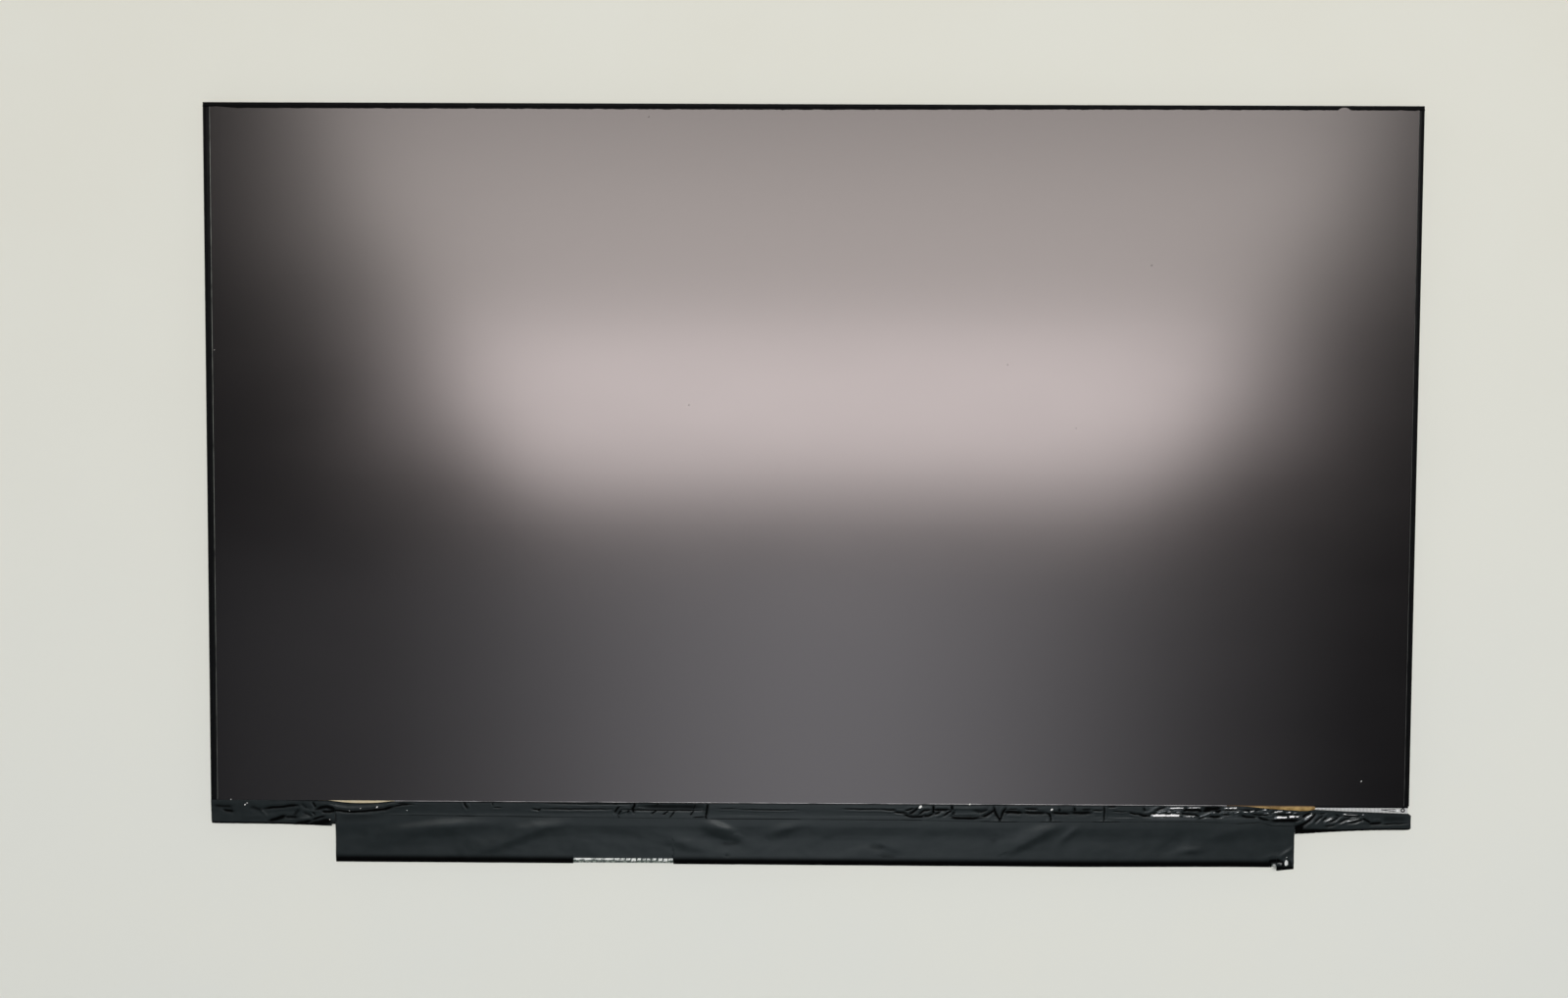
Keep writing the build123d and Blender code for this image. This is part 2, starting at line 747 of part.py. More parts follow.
# Receptacle housing: a floor on the board, a back wall that the contacts pass through and two cheeks
contact_span = (contact_count - 1) * contact_pitch
connector_width = contact_span + contact_width + 2 * connector_cheek
mouth_width = connector_width - connector_cheek

with BuildPart() as connector_housing:
    with BuildSketch(Plane.XY.offset(board_rear_z - connector_height)):
        with Locations((connector_x, connector_mouth + connector_depth / 2)):
            Rectangle(connector_width, connector_depth)
    extrude(amount=connector_height)
    with BuildSketch(Plane.XY.offset(board_rear_z - connector_height)):
        with Locations((connector_x, connector_mouth + (connector_depth - connector_back) / 2)):
            Rectangle(mouth_width, connector_depth - connector_back)
    extrude(amount=connector_height - connector_floor, mode=Mode.SUBTRACT)
    add(connector_contacts.part, mode=Mode.SUBTRACT)
save(connector_housing, "connector_housing")

# Receptacle shell: sheet metal folded over the housing, with a soldered foot at each side
with BuildPart() as connector_shell:
    with BuildSketch(Plane.XZ.offset(-connector_mouth)) as shell_section:
        with Locations((connector_x, board_rear_z)):
            Rectangle(
                connector_width + 2 * shell_sheet,
                connector_height + shell_sheet,
                align=(Align.CENTER, Align.MAX),
            )
            fillet(shell_section.vertices().group_by(Axis.Y)[0], radius=shell_sheet)
            Rectangle(connector_width + 2 * shell_foot, shell_sheet, align=(Align.CENTER, Align.MAX))
            Rectangle(
                connector_width,
                connector_height,
                align=(Align.CENTER, Align.MAX),
                mode=Mode.SUBTRACT,
            )
    extrude(amount=-connector_depth)
    with BuildSketch(Plane.XY.offset(board_rear_z - connector_height - shell_sheet)):
        with Locations((connector_x, connector_mouth + connector_depth / 2)):
            with GridLocations(contact_span / 2, 0, 3, 1):
                RectangleRounded(shell_window_length, shell_window_width, shell_window_corner)
    extrude(amount=shell_sheet, mode=Mode.SUBTRACT)
save(connector_shell, "connector_shell")

# Rear film: a pan over the components, flat on the board round three sides, cut out at the receptacle
pan_length = board_length - 2 * rear_film_end_margin
hollow_length = pan_length - 2 * pan_wall
notch_top = contact_end + rear_film_flange

with BuildPart() as rear_film:
    with BuildSketch(Plane.XY.offset(board_rear_z)):
        with Locations((board_x, pan_bottom)):
            Rectangle(pan_length, board_top - pan_bottom, align=(Align.CENTER, Align.MIN))
    with BuildSketch(Plane.XY.offset(board_rear_z - pan_depth)):
        with Locations((board_x, pan_bottom + pan_depth)):
            Rectangle(
                pan_length - 2 * pan_depth,
                board_top - pan_bottom - pan_depth,
                align=(Align.CENTER, Align.MIN),
            )
    loft(ruled=True)
    with BuildSketch(Plane.XY.offset(board_rear_z - rear_film_thickness)):
        with Locations((board_x, board_bottom)):
            Rectangle(pan_length + 2 * rear_film_flange, board_height, align=(Align.CENTER, Align.MIN))
    extrude(amount=rear_film_thickness)
    with BuildSketch(Plane.XY.offset(board_rear_z)):
        with Locations((board_x, hollow_bottom)):
            Rectangle(hollow_length, board_height, align=(Align.CENTER, Align.MIN))
    with BuildSketch(Plane.XY.offset(board_rear_z - pan_hollow)):
        with Locations((board_x, pan_floor_bottom)):
            Rectangle(
                hollow_length - 2 * pan_hollow,
                board_height - pan_hollow,
                align=(Align.CENTER, Align.MIN),
            )
    loft(ruled=True, mode=Mode.SUBTRACT)
    with BuildSketch(Plane.XY.offset(board_rear_z)):
        with Locations((connector_x, (board_bottom + notch_top) / 2)):
            Rectangle(notch_length, notch_top - board_bottom)
    extrude(amount=-pan_depth, mode=Mode.SUBTRACT)
save(rear_film, "rear_film")

# Board tape: from the glass's lower edge down over the films and the board, folded round its lower edge
tape_start = array_glass_bottom - board_tape_butt
tape_board_z = board_front_z + film_thickness
tape_outer = board_bottom - board_tape_play - tape_thickness
torn_x = board_right - torn_length
torn_bottom = tape_outer - torn_reach
tape_face = [
    (tape_start, film_top_z),
    (-half_height, film_top_z),
    (film_board_start, tape_board_z),
]
tape_hem_z = board_rear_z - rear_film_thickness

with BuildPart() as board_tape:
    with BuildSketch(Plane.YZ.offset(board_left)) as folded_section:
        with BuildLine():
            Polyline(*drape(tape_face + [(tape_outer, tape_board_z)], tape_thickness), close=True)
        make_face()
        with Locations((tape_outer, tape_hem_z - tape_thickness)):
            Rectangle(
                tape_thickness,
                tape_board_z - tape_hem_z + 2 * tape_thickness,
                align=(Align.MIN, Align.MIN),
            )
            Rectangle(tape_thickness + board_tape_lap, tape_thickness, align=(Align.MIN, Align.MIN))
        fillet(folded_section.vertices().group_by(Axis.X)[0], radius=tape_fold)
    extrude(amount=torn_x - board_left)
    with BuildSketch(Plane.YZ.offset(torn_x)):
        with BuildLine():
            Polyline(*drape(tape_face + [(torn_bottom, tape_board_z)], tape_thickness), close=True)
        make_face()
    extrude(amount=torn_length)
    with BuildSketch():
        with BuildLine():
            Polyline(
                (torn_x, torn_bottom),
                (board_right, torn_bottom),
                (board_right, torn_bottom + torn_rise),
                close=True,
            )
        make_face()
        with Locations((board_right - tooling_hole_inset_x, board_bottom + tooling_hole_inset_y)):
            Ellipse(torn_hole_width / 2, torn_hole_height / 2)
        with Locations((connector_x, tape_outer)):
            Rectangle(notch_length, 2 * notch_depth)
    extrude(amount=front_z, mode=Mode.SUBTRACT)
save(board_tape, "board_tape")
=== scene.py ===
# Laptop screen panel: a bare liquid-crystal module, lying on its back with the screen up.
import math

import bmesh
import bpy
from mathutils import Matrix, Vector, noise


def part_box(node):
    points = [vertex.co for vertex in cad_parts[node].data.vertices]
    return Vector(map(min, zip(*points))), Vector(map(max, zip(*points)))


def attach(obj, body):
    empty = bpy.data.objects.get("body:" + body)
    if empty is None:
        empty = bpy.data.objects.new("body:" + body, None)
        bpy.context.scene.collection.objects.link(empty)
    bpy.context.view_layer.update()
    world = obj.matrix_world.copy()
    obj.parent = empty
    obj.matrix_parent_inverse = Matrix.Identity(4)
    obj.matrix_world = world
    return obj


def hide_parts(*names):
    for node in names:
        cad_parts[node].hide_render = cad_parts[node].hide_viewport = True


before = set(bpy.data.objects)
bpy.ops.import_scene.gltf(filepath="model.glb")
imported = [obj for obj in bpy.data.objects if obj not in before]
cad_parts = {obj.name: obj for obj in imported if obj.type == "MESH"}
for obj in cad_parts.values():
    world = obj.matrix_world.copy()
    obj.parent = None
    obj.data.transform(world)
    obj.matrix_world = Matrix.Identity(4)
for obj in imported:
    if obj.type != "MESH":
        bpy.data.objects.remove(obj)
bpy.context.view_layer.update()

# Back cover: a shallow tray of rolled aluminium sheet, its walls folded up round the backlight.
# It is left bare, so fine mill streaks run along it, with duller spots where it was handled.
mm = 0.001


class Wire:
    """One socket of a material: arithmetic on it adds Math nodes, and node() adds any other node."""

    def __init__(self, tree, socket=None):
        self.tree = tree
        self.socket = socket

    def node(self, kind, settings=None, sockets=None, output=0):
        made = self.tree.nodes.new("ShaderNode" + kind)
        for name, value in (settings or {}).items():
            setattr(made, name, value)
        for name, value in (sockets or {}).items():
            if isinstance(value, Wire):
                self.tree.links.new(value.socket, made.inputs[name])
            else:
                made.inputs[name].default_value = value
        return Wire(self.tree, made.outputs[output] if made.outputs else None)

    def math(self, operation, first, second):
        return self.node("Math", {"operation": operation}, {0: first, 1: second})

    def __add__(self, other):
        return self.math("ADD", self, other)

    def __radd__(self, other):
        return self.math("ADD", other, self)

    def __sub__(self, other):
        return self.math("SUBTRACT", self, other)

    def __rsub__(self, other):
        return self.math("SUBTRACT", other, self)

    def __mul__(self, other):
        return self.math("MULTIPLY", self, other)

    def __rmul__(self, other):
        return self.math("MULTIPLY", other, self)

    def mix(self, low, high):
        """The colour that runs from low to high as this value runs from 0 to 1."""
        return self.node("Mix", {"data_type": "RGBA"}, {0: self, 6: low, 7: high}, output=2)

    def rise(self, start, end):
        """0 where this value is at start, 1 where it is at end, and smooth between."""
        limits = {"Value": self, "From Min": start, "From Max": end}
        return self.node("MapRange", {"interpolation_type": "SMOOTHSTEP"}, limits)


def tint(red, green, blue):
    """A colour as it looks on a screen, 0 to 255, turned into the linear value that a shader takes."""
    parts = [part / 255 for part in (red, green, blue)]
    return *[part / 12.92 if part <= 0.04045 else ((part + 0.055) / 1.055) ** 2.4 for part in parts], 1.0


def lumps(wire, per_mm, detail=2.0, stretch=(1.0, 1.0, 1.0)):
    """Noise fixed to the part, with about so many lumps in a millimetre, longer where stretch is small."""
    place = wire.node("TexCoord", output="Object")
    drawn = wire.node("Mapping", {}, {"Vector": place, "Scale": stretch})
    return wire.node("TexNoise", {}, {"Vector": drawn, "Scale": per_mm / mm, "Detail": detail})


def relief(wire, height, depth):
    """The surface normal of a fine relief, depth millimetres deep."""
    return wire.node("Bump", {}, {"Height": height, "Distance": depth * mm})


def finish(surface, name=None):
    """A material from a function that gives its shader, or just the sockets of a Principled shader."""
    made = bpy.data.materials.new(name or surface.__name__)
    made.use_nodes = True
    made.node_tree.nodes.clear()
    start = Wire(made.node_tree)
    shader = surface(start)
    if isinstance(shader, dict):
        shader = start.node("BsdfPrincipled", {}, shader)
    start.node("OutputMaterial", {}, {"Surface": shader})
    return made


def dress(material, *nodes):
    """Gives a material to CAD nodes."""
    for node in nodes:
        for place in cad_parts[node].material_slots:
            place.material = material


def rolled_aluminium(wire):
    streaks = lumps(wire, 2.2, 3.0, (0.015, 1.0, 1.0))
    handling = lumps(wire, 0.05, 4.0)
    return {
        "Base Color": streaks.mix(tint(172, 175, 178), tint(206, 208, 210)),
        "Metallic": 1.0,
        "Roughness": 0.22 + 0.12 * streaks + 0.18 * handling,
        "Normal": relief(wire, streaks, 0.004),
    }


dress(finish(rolled_aluminium), "back_cover")

# Moulded frame: a thin ring of black polycarbonate that holds the light guide and the sheets.
# It is injection moulded with an eroded finish and snaps into windows in the cover's walls.
def eroded_plastic(wire):
    grain = lumps(wire, 9.0, 2.0)
    return {
        "Base Color": lumps(wire, 0.4, 3.0).mix(tint(24, 24, 25), tint(36, 36, 37)),
        "Roughness": 0.45 + 0.2 * grain,
        "Normal": relief(wire, grain, 0.01),
    }


dress(finish(eroded_plastic), "moulded_frame")

# Light bar: white-coated flex circuit with a row of side-firing LEDs soldered under it. The flex is
# stuck to the light guide's lip, and each LED is a white cup filled with yellow phosphor.
def bands(wire, direction, scale, distortion=0.0, profile="SIN"):
    """Stripes fixed to the part, one after the other in the given direction."""
    settings = {"bands_direction": direction, "wave_profile": profile}
    place = wire.node("TexCoord", output="Object")
    waves = {"Vector": place, "Scale": scale, "Distortion": distortion}
    return wire.node("TexWave", settings, waves, output=1)


def white_flex(wire):
    tracks = bands(wire, "Y", 700.0, 0.4)
    return {
        "Base Color": tracks.rise(0.55, 0.75).mix(tint(226, 226, 220), tint(206, 200, 184)),
        "Roughness": 0.4 + 0.15 * lumps(wire, 6.0),
        "Normal": relief(wire, tracks, 0.01),
    }


def phosphor(wire):
    grains = lumps(wire, 14.0, 3.0)
    return {
        "Base Color": grains.mix(tint(214, 186, 84), tint(240, 226, 160)),
        "Roughness": 0.35 + 0.25 * grains,
        "Normal": relief(wire, grains, 0.008),
    }


dress(finish(white_flex), "light_bar_flex")
dress(finish(phosphor), "backlight_leds")

# Reflector and diffuser: cut sheets of white foamed polyester. The light guide between them is a thin
# acrylic plate with a fine dot pattern that lets the light out, and two ridged prism sheets lie on top.
def foamed_polyester(wire):
    cells = lumps(wire, 11.0, 2.0)
    return {
        "Base Color": cells.mix(tint(232, 232, 230), tint(248, 248, 246)),
        "Roughness": 0.5 + 0.2 * cells,
        "Normal": relief(wire, cells, 0.004),
    }


def dotted_acrylic(wire):
    place = wire.node("TexCoord", output="Object")
    dots = wire.node("TexVoronoi", {}, {"Vector": place, "Scale": 4.0 / mm, "Randomness": 0.4})
    dot = 1.0 - dots.rise(0.18, 0.26)
    return {
        "Base Color": dot.mix(tint(226, 236, 238), tint(250, 250, 250)),
        "Roughness": 0.06 + 0.5 * dot,
        "IOR": 1.49,
        "Transmission Weight": 0.8,
        "Normal": relief(wire, dot, 0.01),
    }


def ridged_film(wire):
    ridges = bands(wire, "Y", 6000.0, profile="TRI")
    return {
        "Base Color": lumps(wire, 0.3).mix(tint(206, 210, 214), tint(228, 230, 232)),
        "Roughness": 0.12 + 0.1 * lumps(wire, 2.0),
        "Transmission Weight": 0.5,
        "Normal": relief(wire, ridges, 0.02),
    }


dress(finish(foamed_polyester), "reflector_sheet", "diffuser_sheet")
dress(finish(dotted_acrylic), "light_guide_plate")
dress(finish(ridged_film), "lower_prism_sheet", "upper_prism_sheet")

# Rim tape and edge tapes: black polyester tape. The rim tape is a double-sided frame under the glass,
# and the left and right edge tapes are folded over the rim from the glass down the cover's walls.
tape_dark = tint(6, 6, 7)
tape_worn = tint(16, 17, 17)


def black_polyester(wire):
    scuffs = lumps(wire, 0.7, 5.0)
    grain = lumps(wire, 7.0, 2.0)
    return {
        "Base Color": scuffs.rise(0.5, 0.8).mix(tape_dark, tape_worn),
        "Roughness": 0.4 + 0.15 * scuffs + 0.1 * grain,
        "Specular IOR Level": 0.06,
        "Normal": relief(wire, grain, 0.006),
    }


edge_tape_finish = finish(black_polyester)
dress(edge_tape_finish, "rim_tape", "left_edge_tape", "right_edge_tape")

# Glass cell: two sheets of thin glass sealed round the liquid crystal, with a polarizer film behind.
# The filter glass is printed black at its border; metal tracks run to the bonds on the array ledge.
def printed_border(wire):
    haze = lumps(wire, 0.5, 4.0)
    return {
        "Base Color": haze.mix(tint(10, 10, 11), tint(17, 17, 18)),
        "Roughness": 0.16 + 0.14 * haze,
        "Specular IOR Level": 0.12,
        "Normal": relief(wire, lumps(wire, 3.0), 0.002),
    }


def tracked_ledge(wire):
    tracks = bands(wire, "X", 900.0, 0.6)
    patches = lumps(wire, 0.35, 3.0)
    metal = tracks.rise(0.25, 0.4) * patches.rise(0.25, 0.4)
    return {
        "Base Color": metal.mix(tint(136, 139, 140), tint(224, 224, 221)),
        "Metallic": 0.2 * metal,
        "Roughness": 0.2 + 0.25 * patches,
        "Normal": relief(wire, metal, 0.003),
    }


def grey_film(wire):
    haze = lumps(wire, 0.2, 3.0)
    return {
        "Base Color": haze.mix(tint(58, 60, 64), tint(72, 74, 78)),
        "Roughness": 0.1 + 0.15 * haze,
        "Transmission Weight": 0.3,
    }


dress(finish(printed_border), "color_filter_glass")
dress(finish(tracked_ledge), "array_glass")
dress(finish(grey_film), "rear_polarizer")


def span(node):
    """The lowest and highest corners of a CAD node, in millimetres."""
    low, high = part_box(node)
    return low / mm, high / mm


def place_mesh(name, mesh, material, replaced=None):
    """Turns a finished mesh into a piece of the panel."""
    piece = bpy.data.objects.new(name, mesh)
    bpy.context.scene.collection.objects.link(piece)
    mesh.materials.append(material)
    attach(piece, "root")
    if replaced:
        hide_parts(replaced)
    return piece


# Alignment marks on the ledge: a ring and an open wedge of dark chrome, printed beside the last bonds,
# with a bare metal pad between them. They show where the chin tape leaves the ledge uncovered.
ledge_z = span("array_glass")[1].z
mark_line = 0.15
mark_height = 0.03
mark_weld = 0.001
ring_x = 156.5
ring_y = -89.1
ring_radius = 0.42
ring_sides = 32
wedge_tip = Vector((150.8, -88.98))
wedge_ends = (Vector((154.6, -88.86)), Vector((154.6, -89.44)))
pad_left = 154.85
pad_right = 155.4
pad_lower = -89.5
pad_upper = -88.9


def mark_chrome(wire):
    wear_and_shade = lumps(wire, 3.0, 3.0)
    return {
        "Base Color": wear_and_shade.mix(tint(6, 6, 7), tint(20, 20, 21)),
        "Roughness": 0.4 + 0.3 * wear_and_shade,
        "Specular IOR Level": 0.1,
    }


def pad_metal(wire):
    grain = lumps(wire, 5.0, 3.0)
    return {
        "Base Color": grain.mix(tint(206, 208, 208), tint(246, 246, 244)),
        "Roughness": 0.3 + 0.2 * grain,
        "Normal": relief(wire, grain, 0.004),
    }


def oblong(left, lower, right, upper):
    """The four corners of a rectangle, in turn."""
    return [(left, lower), (right, lower), (right, upper), (left, upper)]


def add_slab(shell, outline, bottom, top):
    """Adds a flat closed slab to a bmesh, with its outline given in millimetres."""
    lower = [shell.verts.new(Vector((x, y, bottom)) * mm) for x, y in outline]
    upper = [shell.verts.new(Vector((x, y, top)) * mm) for x, y in outline]
    shell.faces.new(reversed(lower))
    shell.faces.new(upper)
    for index in range(len(outline)):
        after = (index + 1) % len(outline)
        shell.faces.new((lower[index], lower[after], upper[after], upper[index]))


def place_shell(name, shell, material):
    """Turns a closed bmesh into a piece of the panel."""
    mesh = bpy.data.meshes.new(name)
    bmesh.ops.recalc_face_normals(shell, faces=shell.faces)
    shell.to_mesh(mesh)
    shell.free()
    return place_mesh(name, mesh, material)


marks = bmesh.new()
for index in range(ring_sides):
    first, last = [2 * math.pi * (index + step) / ring_sides for step in (0, 1)]
    polar = oblong(ring_radius - mark_line, first, ring_radius + mark_line, last)
    outline = [(ring_x + reach * math.cos(turn), ring_y + reach * math.sin(turn)) for reach, turn in polar]
    add_slab(marks, outline, ledge_z, ledge_z + mark_height)
for end in wedge_ends:
    across = (end - wedge_tip).orthogonal().normalized() * mark_line / 2
    outline = (wedge_tip - across, end - across, end + across, wedge_tip + across)
    add_slab(marks, outline, ledge_z, ledge_z + mark_height)
bmesh.ops.remove_doubles(marks, verts=marks.verts, dist=mark_weld * mm)
place_shell("alignment_marks", marks, finish(mark_chrome))

pad = bmesh.new()
add_slab(pad, oblong(pad_left, pad_lower, pad_right, pad_upper), ledge_z, ledge_z + mark_height)
place_shell("alignment_pad", pad, finish(pad_metal))

# Front polarizer: the screen's surface, a dark film with a matt anti-glare coat rolled on the glass.
# The coat's grain blurs what it mirrors, and cleaning has left faint wipes in it.
screen_low, screen_high = span("front_polarizer")
border_z = span("color_filter_glass")[1].z


def anti_glare(wire):
    grain = lumps(wire, 6.0, 2.0)
    wipes = lumps(wire, 0.02, 4.0, (1.0, 2.5, 1.0))
    return {
        "Base Color": wipes.mix(tint(6, 6, 7), tint(10, 10, 11)),
        "Roughness": 0.165 + 0.03 * wipes + 0.01 * grain,
        "IOR": 1.72,
        "Specular Tint": (1.0, 0.9, 0.88, 1.0),
        "Normal": relief(wire, grain, 0.0006),
    }


anti_glare_finish = finish(anti_glare)
dress(anti_glare_finish, "front_polarizer")

# Cut edge of the polarizer: the film is die cut, so its wall slants out to the glass, and the clear
# adhesive under it shows as a pale line, strongest at the left.
cut_slant = 0.22
cut_slant_lower = 0.04
pale_across = (-156.0, 20.0)
pale_up = (-100.0, 90.0)


def where(wire, axis):
    """How far along one axis a point of the part lies, in millimetres."""
    place = wire.node("TexCoord", output="Object")
    return wire.node("SeparateXYZ", {}, {"Vector": place}, output=axis) * (1.0 / mm)


def cut_film(wire):
    breaks = lumps(wire, 0.25, 4.0)
    left = 1.0 - where(wire, "X").rise(*pale_across)
    upper = where(wire, "Y").rise(*pale_up)
    pale = (0.2 + 0.8 * left * (0.3 + 0.7 * upper)) * breaks.rise(0.2, 0.6)
    return {
        "Base Color": pale.mix(tint(30, 30, 31), tint(146, 150, 142)),
        "Roughness": 0.3 + 0.3 * breaks,
    }


rim = bmesh.new()
inner = oblong(screen_low.x, screen_low.y, screen_high.x, screen_high.y)
outer = oblong(
    screen_low.x - cut_slant,
    screen_low.y - cut_slant_lower,
    screen_high.x + cut_slant,
    screen_high.y + cut_slant,
)
rings = [
    [rim.verts.new(Vector((x, y, z)) * mm) for x, y in outline]
    for outline, z in ((inner, border_z), (outer, border_z), (inner, screen_high.z))
]
for ring, following in zip(rings, rings[1:] + rings[:1]):
    for index in range(len(ring)):
        after = (index + 1) % len(ring)
        rim.faces.new((ring[index], ring[after], following[after], following[index]))
place_shell("polarizer_cut_edge", rim, finish(cut_film))

# Adhesive bead: clear adhesive, squeezed out from under the screen's lower edge onto the amber strip when
# the film was pressed on. It shows along the chin tape's upper edge as a thin, broken, pale line.
bead_left = -109.4
bead_right = 110.0
bead_reach = 0.26
bead_height = 0.05
strip_low, strip_high = span("bond_strip")


def squeezed_adhesive(wire):
    breaks = lumps(wire, 0.5, 4.0, (0.3, 1.0, 1.0))
    return {
        "Base Color": breaks.rise(0.3, 0.6).mix(tint(84, 83, 84), tint(168, 165, 166)),
        "Roughness": 0.3 + 0.2 * breaks,
        "Normal": relief(wire, breaks, 0.01),
    }


bead = bmesh.new()
bead_outline = oblong(bead_left, screen_low.y - bead_reach, bead_right, screen_low.y)
add_slab(bead, bead_outline, strip_high.z, strip_high.z + bead_height)
place_shell("adhesive_bead", bead, finish(squeezed_adhesive))

# Driver films: polyimide flex circuits bonded to the ledge and the board, with a thin silicon chip
# under each. The bond strip is a bare amber tape over the bonds, paler where its adhesive clouds it.
amber_deep = tint(112, 86, 42)
amber_pale = tint(178, 148, 92)
amber_cloud = tint(202, 195, 172)
step_shadow_span = (-88.4, -88.0)
clouded_end = (-112.0, -106.0)


def copper_tracks(wire):
    tracks = bands(wire, "X", 3000.0, 0.2)
    return {
        "Base Color": tracks.rise(0.4, 0.6).mix(amber_deep, tint(176, 112, 62)),
        "Roughness": 0.3 + 0.15 * lumps(wire, 4.0),
        "Normal": relief(wire, tracks, 0.006),
    }


def polished_silicon(wire):
    lapping = lumps(wire, 8.0, 3.0, (0.1, 1.0, 1.0))
    return {
        "Base Color": lapping.mix(tint(70, 72, 80), tint(96, 98, 106)),
        "Metallic": 0.7,
        "Roughness": 0.15 + 0.15 * lapping,
    }


def amber_strip(wire):
    clouds = lumps(wire, 0.6, 4.0)
    amber = clouds.rise(0.3, 0.7).mix(amber_deep, amber_pale)
    # Painted shadow: the strip's upper edge, under the screen's step, is darkened to deep brown.
    step_shadowed = where(wire, "Y").rise(*step_shadow_span).mix(amber, tint(88, 60, 20))
    left = 1.0 - where(wire, "X").rise(*clouded_end)
    return {
        "Base Color": left.mix(step_shadowed, clouds.mix(amber_cloud, tint(190, 170, 128))),
        "Roughness": 0.28 + 0.25 * clouds,
        "Coat Weight": 0.3 * clouds,
        "Normal": relief(wire, lumps(wire, 2.0, 3.0), 0.01),
    }


film_count = 4
film_numbers = range(1, film_count + 1)
dress(finish(copper_tracks), *[f"driver_film_{number}" for number in film_numbers])
dress(finish(polished_silicon), *[f"driver_chip_{number}" for number in film_numbers])
dress(finish(amber_strip), "bond_strip")

# Circuit board: glass-fibre laminate under green solder mask, bare and pale along its routed edge.
# Tinned ground pads line that edge beside the receptacle, some of them stained or lifted.
board_low, board_high = span("circuit_board")
notch_left = -62.25
notch_right = -35.75
notch_top = -103.05
routed_width = 0.35
routed_fade = 0.15
pad_height = 0.03
pad_depth = 0.62
pad_pitch = 0.62
pad_least = 0.3
pad_margin = 0.1
pad_inset = 0.02
pad_gap = 0.01
pad_uneven = 0.25
lifted_pads = (-52.0, -49.0)
lifted_wide = 0.9
lifted_wide_uneven = 1.2
lifted_deep_uneven = 0.4
lifted_slip = 0.3
lifted_foot = 0.1
lifted_foot_rise = 0.1
lifted_head = 0.15
lifted_gap = 0.15
lifted_gap_uneven = 0.55


def solder_mask(wire):
    fibres = lumps(wire, 5.0, 3.0)
    routed = board_low.y + routed_width
    bare = 1.0 - where(wire, "Y").rise(routed, routed + routed_fade)
    place = wire.node("TexCoord", output="Object")
    copper = wire.node("TexBrick", {}, {"Vector": place, "Scale": 260.0}, output=1)
    mask = copper.rise(0.3, 0.7).mix(tint(20, 42, 34), tint(27, 56, 43))
    speckle = lumps(wire, 1.6, 3.0).rise(0.4, 0.6)
    return {
        "Base Color": bare.mix(mask, speckle.mix(tint(44, 54, 48), tint(122, 132, 120))),
        "Roughness": 0.3 + 0.3 * fibres,
        "Normal": relief(wire, fibres, 0.008),
    }


def stained_tin(wire):
    stains = lumps(wire, 1.3, 4.0)
    return {
        "Base Color": stains.rise(0.3, 0.6).mix(tint(104, 110, 105), tint(228, 230, 225)),
        "Metallic": 0.15,
        "Roughness": 0.3 + 0.3 * stains,
        "Normal": relief(wire, lumps(wire, 4.0, 3.0), 0.02),
    }


dress(finish(solder_mask), "circuit_board")


def ease(value, start, end):
    """0 before start, 1 after end, and a smooth rise between them."""
    share = min(max((value - start) / (end - start), 0.0), 1.0)
    return share * share * (3.0 - 2.0 * share)


def chance(x, per_mm, seed):
    """Smooth noise along x, from -1 to 1, with about so many lumps in a millimetre."""
    return noise.noise(Vector((per_mm * x, seed, 0.0)))


pads = bmesh.new()
pad_x = notch_left + pad_margin
while pad_x < notch_right - pad_least:
    lifted = ease(pad_x, *lifted_pads)
    wide = pad_pitch * (1.0 + lifted * (lifted_wide + lifted_wide_uneven * chance(pad_x, 0.7, 3.1)))
    deep = pad_depth * (1.0 + (pad_uneven + lifted_deep_uneven * lifted) * chance(pad_x, 0.9, 8.3))
    right = min(pad_x + wide, notch_right - pad_margin)
    top = notch_top - pad_inset - lifted_slip * lifted * abs(chance(pad_x, 1.3, 5.7))
    outline = [
        (pad_x, top - deep),
        (right - lifted_foot * lifted, top - (1.0 - lifted_foot_rise) * deep),
        (right, top),
        (pad_x + lifted_head * lifted, top),
    ]
    add_slab(pads, outline, board_high.z, board_high.z + pad_height)
    gap = lifted_gap + lifted_gap_uneven * abs(chance(pad_x, 2.3, 1.7))
    pad_x = right + lifted * gap + pad_gap
place_shell("edge_pads", pads, finish(stained_tin))

# Chips and passives on the board's rear: matt epoxy packages, pressed ferrite inductors and fired
# ceramic blocks with tinned ends, all reflow soldered.
def moulded_epoxy(wire):
    grain = lumps(wire, 12.0, 3.0)
    return {
        "Base Color": grain.mix(tint(28, 28, 29), tint(44, 44, 45)),
        "Roughness": 0.5 + 0.25 * grain,
        "Normal": relief(wire, grain, 0.01),
    }


def pressed_ferrite(wire):
    grain = lumps(wire, 6.0, 4.0)
    return {
        "Base Color": grain.mix(tint(48, 48, 50), tint(78, 78, 80)),
        "Roughness": 0.6 + 0.2 * grain,
        "Normal": relief(wire, grain, 0.03),
    }


def fired_ceramic(body_low, body_high):
    """A surface of fired ceramic, mottled between two colours."""

    def ceramic(wire):
        grain = lumps(wire, 9.0, 3.0)
        return {
            "Base Color": grain.mix(body_low, body_high),
            "Roughness": 0.35 + 0.25 * grain,
            "Normal": relief(wire, grain, 0.01),
        }

    return ceramic


epoxy_chips = ("timing_controller", "memory_chip", "power_controller", "backlight_driver")
dress(finish(moulded_epoxy), *epoxy_chips)
dress(finish(pressed_ferrite), "power_inductors")
capacitor_body = fired_ceramic(tint(134, 104, 74), tint(168, 138, 104))
dress(finish(capacitor_body, "capacitor_body"), "board_capacitors")
resistor_body = fired_ceramic(tint(30, 30, 32), tint(206, 204, 198))
dress(finish(resistor_body, "resistor_body"), "board_resistors")

